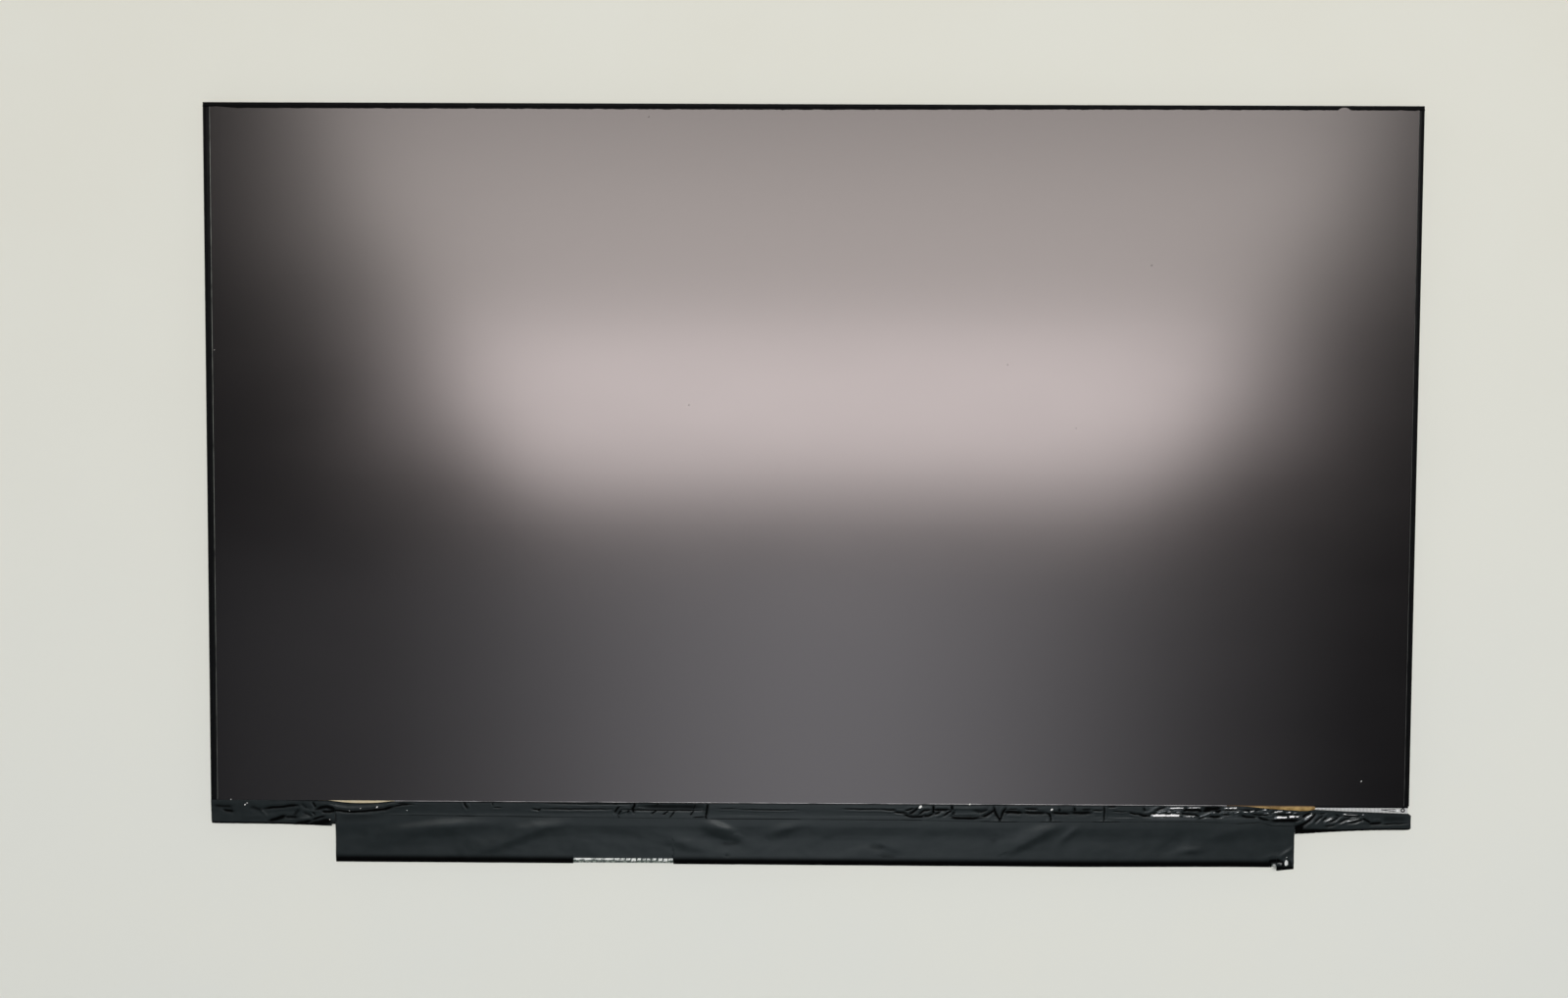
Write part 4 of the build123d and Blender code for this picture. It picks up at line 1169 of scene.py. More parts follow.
# Each crease has half its width, how dark its painted shade is, and the places that it runs through.
chin_creases = (
    (0.35, 0.6, ((-157.4, -89.5), (-154.6, -89.6), (-152.2, -89.8))),
    (0.3, 0.8, ((-154.8, -90.6), (-153.2, -90.9), (-152.0, -91.1))),
    (0.4, 0.5, ((-147.7, -89.7), (-146.0, -90.2), (-144.3, -90.5))),
    (0.24, 1.0, ((-144.0, -90.2), (-141.6, -89.95), (-139.0, -89.75), (-136.6, -89.35), (-134.8, -89.3))),
    (0.32, 1.0, ((-142.9, -93.5), (-141.1, -93.1), (-139.6, -92.6), (-138.2, -92.1))),
    (0.25, 0.75, ((-138.6, -92.5), (-136.8, -92.4), (-135.0, -92.5))),
    (0.35, 0.5, ((-136.4, -92.2), (-135.4, -91.2), (-134.6, -90.4))),
    (0.3, 1.0, ((-135.6, -94.1), (-133.4, -93.9), (-131.4, -93.4))),
    (0.2, 0.85, ((-131.4, -93.2), (-129.6, -92.6), (-127.8, -92.2))),
    (0.55, 1.0, ((-131.8, -94.4), (-129.6, -94.1), (-127.8, -93.6), (-125.9, -93.7))),
    (0.2, 0.9, ((-131.0, -88.4), (-130.6, -89.2), (-130.2, -89.9))),
    (0.32, 1.0, ((-130.4, -90.6), (-128.8, -89.9), (-127.2, -89.6), (-126.0, -89.9), (-125.0, -90.4))),
    (0.25, 0.95, ((-128.7, -91.0), (-126.8, -91.1), (-124.9, -90.6))),
    (0.2, 0.8, ((-131.2, -91.1), (-130.4, -91.9))),
    (0.3, 0.5, ((-134.2, -88.8), (-132.4, -90.1))),
    (0.3, 0.5, ((-133.5, -91.2), (-131.2, -92.2))),
    (0.26, 1.0, ((-127.2, -90.2), (-125.0, -90.6), (-122.0, -90.9), (-120.5, -91.0), (-118.0, -90.8),
                 (-115.0, -90.6), (-112.0, -90.2), (-110.4, -89.7), (-109.2, -89.4))),
    (0.16, 0.85, ((-109.6, -89.45), (-107.5, -89.0), (-105.2, -88.9))),
    (0.14, 0.7, ((-108.8, -88.7), (-106.8, -88.6), (-104.2, -89.0))),
    (0.2, 0.9, ((-91.0, -88.0), (-90.8, -88.7), (-90.2, -90.0))),
    (0.14, 0.7, ((-83.6, -88.2), (-83.4, -89.0))),
    (0.12, 0.65, ((-83.1, -89.65), (-81.2, -89.65))),
    (0.16, 0.8, ((-73.0, -90.0), (-71.8, -90.1), (-71.0, -90.5))),
    (0.16, 0.9, ((-71.6, -90.3), (-70.7, -89.9))),
    (0.16, 0.7, ((-70.8, -89.9), (-65.0, -89.95), (-58.0, -89.95), (-51.4, -89.9))),
    (0.16, 0.6, ((-70.0, -88.45), (-62.0, -88.5), (-54.0, -88.5), (-46.0, -88.5))),
    (0.16, 0.9, ((-50.9, -88.0), (-50.8, -88.8))),
    (0.18, 0.95, ((-51.2, -90.8), (-50.6, -89.8), (-50.0, -89.2))),
    (0.15, 0.9, ((-50.5, -91.5), (-49.9, -90.7), (-49.5, -90.2))),
    (0.12, 0.85, ((-50.2, -91.5), (-50.15, -92.3))),
    (0.15, 0.85, ((-48.1, -90.9), (-47.3, -90.2))),
    (0.2, 1.0, ((-45.9, -87.95), (-46.0, -88.9), (-46.5, -89.7), (-46.2, -90.8))),
    (0.55, 0.55, ((-44.5, -89.1), (-36.0, -89.2), (-27.6, -89.2))),
    (0.16, 0.75, ((-50.0, -90.0), (-45.0, -90.1), (-38.0, -90.15), (-32.0, -90.1), (-27.4, -90.1))),
    (0.14, 0.85, ((-41.6, -91.2), (-40.0, -90.2))),
    (0.14, 0.85, ((-38.6, -91.4), (-37.1, -90.4))),
    (0.14, 0.85, ((-36.8, -92.1), (-36.0, -91.2), (-35.4, -90.3))),
    (0.14, 0.85, ((-31.3, -91.6), (-30.3, -90.1))),
    (0.14, 0.85, ((-30.5, -89.9), (-29.9, -88.4))),
    (0.14, 0.75, ((-40.5, -88.9), (-39.4, -88.2))),
    (0.12, 0.85, ((-30.6, -91.95), (-27.3, -91.85))),
    (0.2, 1.0, ((-26.6, -88.1), (-26.8, -89.2), (-26.9, -90.4), (-27.2, -91.8), (-26.9, -92.4))),
    (0.12, 0.5, ((-23.6, -89.6), (-19.0, -89.65))),
    (0.12, 0.6, ((-18.2, -89.8), (-10.0, -89.9), (-3.0, -89.85))),
    (0.14, 0.65, ((9.0, -89.55), (14.0, -89.6), (20.0, -89.6))),
    (0.15, 0.9, ((19.0, -89.5), (21.5, -89.75), (23.0, -89.7))),
    (0.18, 0.9, ((22.6, -90.2), (24.4, -90.4), (26.0, -90.6))),
    (0.22, 0.95, ((25.0, -90.9), (26.0, -91.2), (27.4, -91.55), (29.5, -91.45), (30.6, -91.1))),
    (0.16, 0.85, ((25.4, -89.9), (27.6, -89.3))),
    (0.2, 0.9, ((26.4, -90.9), (28.2, -89.7), (28.8, -89.2))),
    (0.2, 0.85, ((29.0, -90.9), (30.4, -89.8), (32.4, -89.5))),
    (0.22, 0.9, ((30.2, -91.3), (31.6, -91.25), (32.8, -90.6))),
    (0.2, 1.0, ((32.8, -88.3), (32.9, -89.4), (32.8, -90.7))),
    (0.25, 0.9, ((33.0, -89.6), (35.0, -89.6), (37.0, -89.5))),
    (0.2, 0.8, ((33.2, -90.8), (34.6, -90.1))),
    (0.2, 0.85, ((35.6, -91.3), (36.8, -90.3), (37.6, -89.8))),
    (0.2, 1.0, ((37.8, -88.3), (37.85, -89.6))),
    (0.26, 1.0, ((37.4, -91.5), (38.6, -91.75), (41.0, -91.7), (43.4, -91.75), (45.6, -91.6))),
    (0.35, 0.6, ((38.4, -90.0), (38.0, -91.0))),
    (0.35, 0.55, ((43.0, -89.7), (45.5, -90.0), (47.4, -89.6))),
    (0.25, 0.9, ((45.4, -91.5), (47.0, -91.0), (48.2, -90.2), (48.8, -89.6))),
    (0.22, 1.0, ((48.8, -88.5), (49.0, -89.8), (49.5, -90.9), (50.3, -92.0), (50.5, -92.75))),
    (0.2, 1.0, ((50.55, -92.2), (50.8, -91.2), (51.3, -89.9), (52.0, -88.9))),
    (0.3, 0.95, ((51.4, -90.1), (54.0, -90.1), (56.5, -90.3))),
    (0.3, 0.8, ((56.5, -90.2), (59.6, -90.3), (62.6, -90.3))),
    (0.2, 0.65, ((52.6, -89.3), (55.0, -89.3))),
    (0.2, 0.75, ((57.0, -89.2), (60.4, -89.3))),
    (0.2, 0.95, ((62.4, -90.2), (63.4, -90.6), (63.8, -91.4), (63.8, -92.6))),
    (0.3, 0.85, ((64.0, -90.2), (66.4, -90.4), (69.0, -90.35))),
    (0.35, 0.8, ((69.0, -90.2), (72.0, -90.25), (74.6, -90.1))),
    (0.25, 0.7, ((66.0, -89.0), (66.2, -90.0))),
    (0.25, 0.75, ((70.0, -88.7), (70.1, -89.8))),
    (0.3, 0.6, ((72.0, -89.4), (74.4, -89.3))),
    (0.16, 0.75, ((74.8, -89.5), (77.6, -89.6))),
    (0.14, 1.0, ((77.85, -88.3), (77.9, -90.0), (77.85, -92.55))),
    (0.12, 0.65, ((80.0, -89.75), (84.0, -89.8))),
    (0.16, 0.8, ((79.0, -88.6), (81.0, -88.4))),
    (0.2, 0.9, ((84.4, -90.0), (86.0, -90.4), (87.2, -90.5))),
    (0.22, 1.0, ((86.6, -90.4), (88.2, -90.9), (89.6, -90.9))),
    (0.2, 0.8, ((88.2, -88.6), (88.8, -89.6))),
    (0.25, 0.9, ((89.6, -91.2), (90.4, -90.4), (91.6, -90.1))),
    (0.2, 0.9, ((91.4, -89.6), (92.6, -88.9), (94.0, -88.5))),
    (0.18, 0.9, ((93.6, -90.3), (95.2, -90.2), (96.0, -89.2))),
    (0.2, 0.95, ((96.4, -90.2), (98.4, -90.2), (100.4, -90.4), (102.0, -90.5), (103.2, -91.2))),
    (0.35, 1.0, ((98.6, -89.6), (99.4, -89.2), (102.6, -89.2), (103.8, -89.8))),
    (0.45, 1.0, ((103.9, -88.9), (105.4, -88.9), (107.2, -88.8), (108.6, -88.6))),
    (0.35, 1.0, ((103.9, -89.6), (104.9, -89.4), (106.0, -89.2))),
    (0.25, 1.0, ((106.9, -89.4), (107.9, -89.7), (108.6, -89.2))),
    (0.2, 0.9, ((102.6, -91.6), (103.2, -91.3), (104.4, -91.1))),
    (0.25, 0.95, ((105.4, -90.9), (107.0, -91.1), (108.6, -91.0))),
    (0.2, 0.8, ((107.4, -89.7), (108.4, -89.3))),
    (0.16, 0.95, ((109.0, -89.2), (111.6, -89.2), (113.6, -89.1))),
    (0.2, 0.85, ((109.0, -90.4), (111.0, -90.5))),
    (0.25, 0.95, ((113.8, -90.6), (115.4, -91.1), (118.0, -91.1))),
    (0.25, 0.95, ((118.2, -91.0), (119.8, -91.6), (121.4, -91.8))),
    (0.2, 0.85, ((114.0, -89.2), (116.5, -89.3), (119.0, -89.1))),
    (0.2, 0.9, ((116.5, -90.3), (119.0, -90.5), (121.5, -90.4))),
    (0.35, 1.0, ((121.6, -91.9), (124.4, -91.9), (127.0, -91.8), (129.6, -91.9))),
    (0.2, 1.0, ((122.8, -90.3), (126.0, -90.3), (129.6, -90.2))),
    (0.15, 0.9, ((121.8, -89.8), (123.2, -89.2))),
    (0.3, 1.0, ((129.8, -91.2), (131.0, -90.4), (132.2, -89.7))),
    (0.3, 1.0, ((128.6, -93.7), (130.2, -92.9), (131.8, -91.9), (132.8, -90.8), (133.6, -89.9))),
    (0.5, 1.0, ((127.9, -94.2), (129.2, -93.6), (130.4, -94.1))),
    (0.2, 0.85, ((133.2, -92.4), (134.4, -91.4), (135.6, -90.6))),
    (0.2, 0.75, ((134.4, -90.1), (136.0, -89.9))),
    (0.2, 0.85, ((135.4, -91.8), (136.6, -91.0))),
    (0.2, 0.85, ((137.0, -92.4), (138.6, -91.7), (139.6, -90.9))),
    (0.2, 0.75, ((138.6, -90.2), (140.0, -90.8))),
    (0.16, 0.85, ((140.4, -90.55), (143.0, -90.65), (145.6, -90.65))),
    (0.2, 0.85, ((139.4, -92.5), (141.0, -91.7), (143.0, -91.0))),
    (0.2, 0.9, ((142.0, -92.6), (144.4, -92.1), (146.0, -91.5))),
    (0.25, 0.95, ((145.8, -91.2), (147.0, -91.8), (148.2, -92.4))),
    (0.25, 0.95, ((147.6, -92.7), (149.4, -92.5), (151.0, -92.4))),
    (0.9, 0.5, ((150.4, -91.4), (154.0, -91.4), (157.4, -91.3))),
    (0.2, 0.6, ((136.0, -93.4), (139.0, -93.1))),
    (0.15, 0.8, ((151.0, -92.7), (157.2, -92.5))),
)
# Each bulge runs like a swell of the board tape.
chin_bulges = (
    ((-140.0, -93.4), (-131.6, -92.9), 0.5, 0.5, 0.16),
    ((-149.0, -92.6), (-144.0, -92.2), 0.6, 0.6, 0.1),
    ((-134.0, -90.9), (-129.0, -90.7), 0.5, 0.5, 0.12),
    ((-145.8, -89.7), (-143.2, -92.2), 0.35, 0.35, 0.1),
    ((33.6, -91.5), (37.2, -89.9), 0.5, 0.5, 0.1),
    ((28.4, -89.2), (47.0, -89.2), 0.35, 0.35, 0.07),
    ((-49.7, -91.0), (-47.9, -90.0), 0.3, 0.3, 0.09),
    ((145.0, -93.7), (157.6, -93.5), 0.5, 0.4, 0.09),
)
# Each flat of the crushed end runs along its lower ridge, with its width above that.
glossy_facets = (
    ((90.0, -91.05), (98.6, -91.0), 0.65),
    ((98.4, -91.1), (102.2, -91.1), 0.3),
    ((91.8, -90.1), (94.4, -89.6), 0.35),
    ((94.4, -89.9), (95.8, -89.9), 0.45),
    ((96.8, -90.0), (98.2, -90.0), 0.45),
    ((94.8, -88.95), (99.2, -88.85), 0.4),
    ((99.6, -88.8), (103.6, -88.7), 0.35),
    ((102.9, -91.25), (105.9, -90.1), 0.4),
    ((105.9, -90.1), (107.4, -89.9), 0.22),
    ((109.2, -88.85), (113.2, -88.85), 0.35),
    ((108.8, -90.05), (110.3, -90.0), 0.25),
    ((110.6, -90.0), (111.7, -89.95), 0.25),
    ((111.9, -90.1), (113.6, -89.8), 0.3),
    ((114.4, -89.9), (116.0, -89.7), 0.3),
    ((116.2, -89.8), (117.6, -89.4), 0.35),
    ((119.4, -89.3), (120.8, -89.1), 0.3),
    ((119.6, -90.2), (121.6, -90.1), 0.25),
    ((122.4, -89.9), (125.2, -89.4), 0.32),
    ((125.4, -90.0), (127.2, -89.8), 0.3),
    ((127.4, -90.1), (128.8, -89.9), 0.3),
    ((122.6, -91.45), (130.0, -90.95), 0.55),
    ((130.6, -92.1), (132.8, -90.2), 0.5),
    ((136.0, -92.4), (138.2, -91.2), 0.25),
    ((140.4, -90.3), (144.6, -90.35), 0.25),
    ((141.6, -92.3), (145.0, -91.2), 0.28),
    ((145.6, -90.6), (146.4, -90.3), 0.25),
)
facet_start = 86.0
facet_slope = 0.29
facet_drop = 0.35
facet_turn = 0.0035
facet_piece = 3.7
facet_taper = 9.0
facet_ragged = 0.08
facet_rim = 0.02
facet_tightness = 0.85
turn_start = 105.0
crushed_start = 91.0
crushed_fade = 0.8
crushed_polish = 0.4
crushed_widens = (126.0, 134.0)
lean_start = (131.5, 134.5)
lean_end = (148.0, 151.0)
lean_across = 0.75
lean_up = 0.66
level_streak = 0.014
leaning_streak = 0.032


def between(x, left, right, fade):
    """1 from left to right and 0 outside, with a soft change at each end."""
    return ease(x, left - fade, left + fade) * (1.0 - ease(x, right - fade, right + fade))


def chin_top(x):
    """The upper edge of the chin tape."""
    ragged = ragged_edge + crushed_edge * ease(x, *crushed_edge_span)
    return follow(x, chin_edge) - ragged * abs(ripple(x, 0, 1.3, 1.0, 4.0))


def chin_bottom(x):
    """The lower edge: lapped on the board tape, or the pinched lip beside the board."""
    if x < lip_left:
        return follow(x, left_lip_edge) + left_lip_ragged * ripple(x, 1, 1.5, 1.0)
    if x < lap_span[0]:
        return body_bottom
    if x < lap_span[1]:
        return follow(x, lap_edge) + lap_ragged * ripple(x, 3, 5.0, 1.0)
    return follow(x, right_lip_edge) + right_lip_ragged * ripple(x, 2, 1.2, 1.0)


def facet(x, y, start, end, width):
    """A flat fold: a gentle flank above the run from start to end, broken into short pieces that turn to
    the left more the further right they lie, and a sharp drop below it."""
    if not start[0] < x < end[0]:
        return 0.0
    held, _, left = beside(x, y, start, end)
    flank = left / width if left > 0.0 else -left / (facet_drop * width)
    turned = facet_turn * max(start[0] - turn_start, 0.0) * ((x - start[0]) % facet_piece)
    taper = min(1.0, facet_taper * min(held, 1.0 - held))
    return (facet_slope * width * (1.0 - flank) + turned) * taper if flank < 1.0 else 0.0


def crushed_end(x, y):
    """How high the folds of the crushed end stand at a point, how slack the film is, and how crushed."""
    if x <= facet_start:
        return 0.0, 1.0, 0.0
    ragged_y = y + facet_ragged * ripple(x, 0, 0.6, 1.0, 9.0)
    flat = max(facet(x, ragged_y, *fold) for fold in glossy_facets)
    slack = 1.0 - facet_tightness * ease(flat, 0.0, facet_rim)
    foot = chin_foot + ease(x, *crushed_widens)
    crushed = ease(x, facet_start, crushed_start) * (1.0 - ease(-y, foot, foot + crushed_fade))
    leaning = ease(x, *lean_start) * (1.0 - ease(x, *lean_end))
    along = lean_across * x + lean_up * y
    across = lean_across * y - lean_up * x
    streaks = level_streak * (1.0 - leaning) * ripple(x, y, 1.5, 0.24, 12.0)
    streaks += leaning_streak * leaning * ripple(along, across, 1.3, 0.3, 13.0)
    return flat + crushed * slack * streaks, slack, crushed


def under_height(x, y):
    """The top of what lies under the chin tape."""
    if lap_span[0] < x < lap_span[1] and y < tape_top_y:
        return tape_height(x, y)
    if strip_ends[0] < x < strip_ends[1]:
        return strip_high.z + (strip_ledge_z - strip_high.z) * ease(-y, *strip_step)
    return ledge_z


def chin_face(x, y):
    """The height of the chin tape's face above the rest plane, and its painted shade there less its polish.
    """
    top, bottom = chin_top(x), chin_bottom(x)
    bent_x = x + bend_x * ripple(x, y, 1.6, 1.2, 7.0)
    bent_y = y + bend_y * ripple(x, y, 1.6, 1.2, 8.0)
    foot = chin_foot - steep_rise * between(x, *steep_span, steep_fade)
    face = chin_border_z + (chin_ledge_z - chin_border_z) * ease(-y, chin_fall, foot)
    depth, painted_shade = creased(bent_x, bent_y, chin_creases)
    folds, slack, crushed = crushed_end(x, y)
    painted_shade *= slack
    polish = max(1.0 - slack, crushed_polish * crushed * (1.0 - painted_shade))
    waves = wave_height * ripple(x, y, 7.0, 2.5) + ripple_height * ripple(x, y, 1.4, 0.9, 5.0)
    face += folds + slack * (waves - depth)
    face += sum(rise * swell(bent_x, bent_y, *run) for *run, rise in chin_bulges)
    valley = follow(x, valley_line) if x > valley_line[0][0] else valley_line[0][1]
    arch = max(0.0, 1.0 - ((y - valley - arch_half) / arch_half) ** 2)
    face += arch_height * between(x, *arch_span, arch_fade) * arch
    # Painted shadow: a dark line along the upper edge under the polarizer's step, fading out towards the far
    # left.
    painted_shade = max(painted_shade, brink_shading * (1.0 - ease(top - y, *brink_width)) * ease(x, *brink_span))
    if lap_span[0] < x < lap_span[1]:
        lifted = max(math.exp(-(((x - place) / lifted_half) ** 2)) for place in lifted_places)
        face += lifted_height * lifted * (1.0 - ease(y - bottom, 0.0, lifted_depth))
        shadow = max(dark * between(x, left, right, shadow_fade) for left, right, dark in lap_shadows)
        # Painted shadow under the lifted lower edge.
        painted_shade = max(painted_shade, shadow * (1.0 - ease(y - bottom, *shadow_width)))
    else:
        widening = ease(x, *pinch_widens) * (1.0 - ease(x, *pinch_narrows))
        pinch = pinch_width + pinch_widening * widening
        # Painted shade along the pinched lower lip beside the board, where the tape turns down.
        painted_shade = max(painted_shade, 1.0 - ease((y - bottom) / pinch, *pinch_shading))
        face -= pinch_droop * (1.0 - ease((y - bottom) / pinch, 0.0, pinch_bend))
    return max(face, under_height(x, y) + chin_film + chin_clearance), min(painted_shade, 1.0) - polish


def fold_back(share):
    """A pinched edge: how much of the lip is left, and how far down, after a share of the fold's length."""
    if share < over_share:
        return 1.0, over_drop * share / over_share
    if share < back_share:
        return 1.0 - (share - over_share) / (back_share - over_share), back_drop
    return 0.0, back_drop + (leg_drop - back_drop) * (share - back_share) / (1.0 - back_share)


def chin_point(column, row):
    """A point of the chin tape and its painted shade less its polish: columns past the body's sides run down
    its side walls, and rows past 1 run down the lower wall."""
    x = min(max(column, body_left), body_right)
    side = abs(column) - abs(x)
    top, bottom = chin_top(x), chin_bottom(x)
    y = top + (bottom - top) * min(row, 1.0)
    z, painted_shade = chin_face(x, y)
    stub = stub_reach * ease(-y, *stub_upper) * (1.0 - ease(-y, *stub_lower))
    out = stub * ease(x, stub_start, body_right)
    # Painted shade: the folded-down side and lower walls are fully darkened.
    if side > 0.0:
        left, drop = fold_back(side)
        return (x + (out * left if column > 0.0 else 0.0), y, z - drop), 1.0
    if row > 1.0:
        left, drop = fold_back(row - 1.0)
        return (x + out * left, body_bottom + (bottom - body_bottom) * left, z - drop), 1.0
    return (x + out, y, z), painted_shade


def chin_kept(column, row):
    """Leaves out the corner between two folds, and the lower fold above the board."""
    beside_board = column < lap_span[0] or column > lap_span[1]
    on_side = not body_left < column < body_right
    return row <= 1.0 or (beside_board and not on_side)


leg_steps = [0.05, 0.15, 0.25, 0.35, 0.6, 1.0]
fine_step = 0.22
crushed_step = 0.3
plain_step = 0.6
# The lapped length is stepped finely where it is creased and coarsely where it lies plain.
lap_stretches = (
    (-92.0, plain_step), (-81.0, fine_step), (-74.0, plain_step), (-26.0, fine_step), (22.0, plain_step),
    (facet_start, fine_step), (lap_span[1] - seam, crushed_step),
)
stretch_start = -104.0
lap_columns = even(lap_span[0] + seam, stretch_start, fine_step)
for stretch_end, step in lap_stretches:
    lap_columns += even(stretch_start + step, stretch_end, step)
    stretch_start = stretch_end
chin_columns = (
    [body_left - step for step in reversed(leg_steps)]
    + even(body_left, lip_left - seam, crushed_step)
    + even(lip_left + seam, lap_span[0] - seam, fine_step)
    + lap_columns
    + even(lap_span[1] + seam, body_right, crushed_step)
    + [body_right + step for step in leg_steps]
)
creased_rows = even(0.0, 0.76, 0.022)
lower_rows = even(0.8, 1.0, 0.04)
chin_rows = creased_rows + lower_rows + [1.0 + step for step in leg_steps]
chin_mesh = film("chin_cover_tape", chin_columns, chin_rows, chin_point, chin_kept)
chin_cover_tape = place_mesh("chin_cover_tape", chin_mesh, matt_tape_finish, "chin_tape")
thicken(chin_cover_tape, chin_film)

# Dust: a few specks of lint and shed film that have settled on the screen and on the tapes.
# Each is a flat crumb with a place and a width: the dark ones lie on the screen, the pale ones on both.
dark_specks = (
    (-31.8, 16.6, 0.3), (-44.1, 1.3, 0.2), (17.0, -21.5, 0.24), (15.4, -10.0, 0.2), (-101.1, -20.3, 0.26),
    (51.1, 27.4, 0.3), (88.1, 53.2, 0.32), (69.1, 11.0, 0.26), (-42.3, 90.9, 0.3),
)
pale_specks = (
    (145.2, -81.3, 0.34), (-155.6, 30.4, 0.22), (-148.9, -89.2, 0.4), (-148.3, -88.75, 0.3),
    (-113.9, -89.6, 0.5), (-118.3, -90.0, 0.26), (-121.3, -90.7, 0.24), (-106.1, -90.5, 0.24),
    (29.4, -88.75, 0.9), (42.4, -88.0, 0.5), (64.0, -89.3, 0.65), (-126.6, -93.1, 0.22),
    (126.2, -101.8, 0.22), (-152.6, -87.8, 0.22),
)
crumb_lumps = 1.3
crumb_uneven = 0.45
crumb_depth = 0.8
crumb_skew = 0.4
crumb_flatness = 0.12
crumb_seat = 0.8


def lint(shade_low, shade_high):
    """A surface of matted fibres between two colours."""

    def crumb(wire):
        fibres = lumps(wire, 8.0, 3.0)
        return {
            "Base Color": fibres.mix(shade_low, shade_high),
            "Roughness": 0.5 + 0.3 * fibres,
            "Normal": relief(wire, fibres, 0.02),
        }

    return crumb


def scatter(name, specks, material):
    """One mesh of flat, uneven crumbs that rest on the screen or on the tapes."""
    crumbs = bmesh.new()
    for x, y, size in specks:
        on_screen = y > screen_low.y and screen_low.x < x < screen_high.x
        on_tape = chin_face(x, y)[0] if y > chin_bottom(x) else tape_height(x, y)
        base = screen_high.z if on_screen else on_tape
        made = bmesh.ops.create_icosphere(crumbs, subdivisions=2, radius=1.0)["verts"]
        for corner in made:
            ball = corner.co.copy()
            swollen = 1.0 + crumb_uneven * noise.noise(crumb_lumps * ball + Vector((x, y, 0.0)))
            half = 0.5 * size * swollen
            corner.co = Vector((
                x + half * ball.x,
                y + half * (crumb_depth * ball.y + crumb_skew * ball.x),
                base + crumb_flatness * size * (ball.z + crumb_seat),
            )) * mm
    return place_shell(name, crumbs, material)


dark_finish = finish(lint(tint(26, 25, 25), tint(52, 50, 48)), "dark_lint")
scatter("dark_lint", dark_specks, dark_finish)
pale_finish = finish(lint(tint(196, 196, 192), tint(244, 244, 240)), "pale_lint")
scatter("pale_lint", pale_specks, pale_finish)

# Floor: a plain pale tabletop under the panel, wide enough to fill every view. Far from the panel it
# glows softly, so that it runs into the paler wall instead of ending in a dark edge.
horizon = (0.66, 0.66, 0.648, 1.0)
floor_half = 4.0
floor_z = -0.02 * mm
warm_side = (-150.0, 150.0)
glow_reach = (0.25, 2.2)
glow_share = 0.76
black = (0.0, 0.0, 0.0, 1.0)
floor_mesh = bpy.data.meshes.new("floor")
floor_corners = oblong(-floor_half, -floor_half, floor_half, floor_half)
floor_mesh.from_pydata([(x, y, floor_z) for x, y in floor_corners], [], [(0, 1, 2, 3)])
floor = bpy.data.objects.new("floor", floor_mesh)
bpy.context.scene.collection.objects.link(floor)


def pale_table(wire):
    mottle = lumps(wire, 0.02, 3.0)
    shade = where(wire, "Y").rise(*warm_side).mix(tint(226, 228, 222), tint(226, 224, 211))
    place = wire.node("TexCoord", output="Object")
    away = wire.node("VectorMath", {"operation": "LENGTH"}, {0: place}, output="Value")
    return {
        "Base Color": mottle.mix(shade, tint(230, 230, 220)),
        "Roughness": 0.8 + 0.1 * mottle,
        "Specular IOR Level": 0.2,
        "Emission Color": (glow_share * away.rise(*glow_reach)).mix(black, horizon),
        "Emission Strength": 1.0,
    }


floor_mesh.materials.append(finish(pale_table))

# Light: rows of soft boxes over the panel, which the screen mirrors as a bright band with a dimmer glow
# above it and a fading one below, and an even room that is paler towards the horizon.
box_height = 1.5
box_stagger = 0.004
white = (1.0, 0.975, 0.98)
warm = (1.0, 0.99, 0.965)
cool = (0.92, 0.98, 1.06)
zenith = (0.034, 0.037, 0.041, 1.0)
wall_top = 0.6
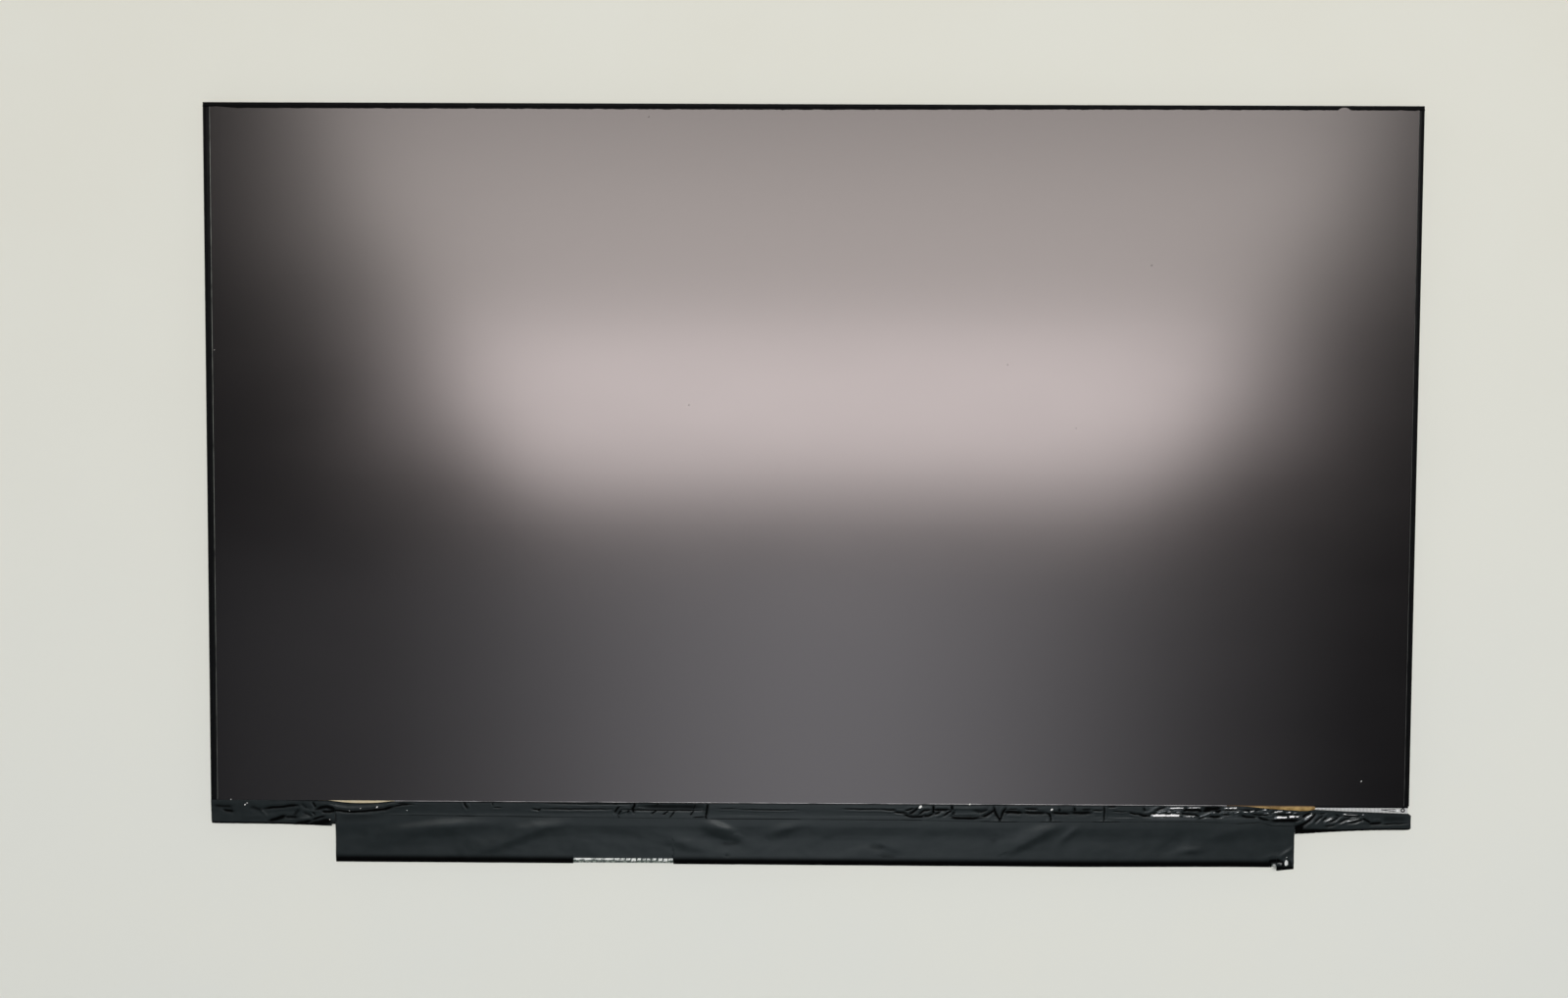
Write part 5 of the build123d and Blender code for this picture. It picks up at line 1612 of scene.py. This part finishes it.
# Each soft box has its middle, its width and depth, its radiance and its colour.
soft_boxes = (
    ("band_upper", (0.08, 0.1475), (1.21, 0.125), 7.1, white),
    ("band_middle", (0.074, 0.055), (1.11, 0.06), 7.6, white),
    ("band_lower", (0.072, 0.0025), (1.05, 0.045), 7.8, white),
    ("band_brim", (0.067, -0.042), (0.94, 0.044), 5.9, white),
    ("band_skirt", (0.075, 0.11), (1.46, 0.2), 1.75, white),
    ("upper_near", (0.085, 0.285), (1.38, 0.15), 3.5, warm),
    ("near_skirt", (0.085, 0.29), (1.62, 0.16), 0.85, warm),
    ("upper_middle", (0.085, 0.42), (1.56, 0.12), 4.1, warm),
    ("upper_far", (0.092, 0.6), (1.66, 0.24), 3.1, warm),
    ("upper_skirt", (0.075, 0.5), (1.86, 0.42), 0.9, warm),
    ("lower_1", (-0.06, -0.52), (1.74, 0.76), 0.28, cool),
    ("lower_2", (0.02, -0.52), (1.24, 0.76), 0.29, cool),
    ("lower_3", (0.04, -0.52), (1.0, 0.76), 0.37, cool),
    ("lower_4", (0.05, -0.52), (0.76, 0.76), 0.4, cool),
    ("lower_5", (0.055, -0.52), (0.52, 0.76), 0.35, cool),
    ("lower_6", (0.06, -0.52), (0.26, 0.76), 0.28, cool),
)
for step, (name, (x, y), (width, depth), radiance, colour) in enumerate(soft_boxes):
    light = bpy.data.lights.new(name, "AREA")
    light.shape = "RECTANGLE"
    light.size = width
    light.size_y = depth
    light.energy = math.pi * width * depth * radiance
    light.color = colour
    lamp = bpy.data.objects.new(name, light)
    lamp.location = (x, y, box_height + box_stagger * step)
    bpy.context.scene.collection.objects.link(lamp)

world = bpy.data.worlds.new("room")
world.use_nodes = True
world.node_tree.nodes.clear()
room = Wire(world.node_tree)
toward = room.node("TexCoord", output="Generated")
height = room.node("SeparateXYZ", {}, {"Vector": toward}, output="Z")
wall = 1.0 - height.rise(0.0, wall_top)
glow = wall.mix(zenith, horizon)
room.node("OutputWorld", {}, {"Surface": room.node("Background", {}, {"Color": glow})})
bpy.context.scene.world = world
bpy.context.scene.view_settings.view_transform = "Standard"

# Camera: held by hand over the panel, close enough for a wide lens to fill the frame with it. It is
# tipped by about two degrees, so the panel's sides aren't quite parallel in the picture.
camera_lens = 27.0
camera_sensor = 36.0
camera_near = 0.01
camera_place = (-0.0057, 0.0026, 0.3096)
camera_turn = (-1.937, 0.233, 0.262)
camera_data = bpy.data.cameras.new("camera")
camera_data.lens = camera_lens
camera_data.sensor_width = camera_sensor
camera_data.clip_start = camera_near
camera = bpy.data.objects.new("camera", camera_data)
camera.location = camera_place
camera.rotation_euler = [math.radians(angle) for angle in camera_turn]
bpy.context.scene.collection.objects.link(camera)
bpy.context.scene.camera = camera
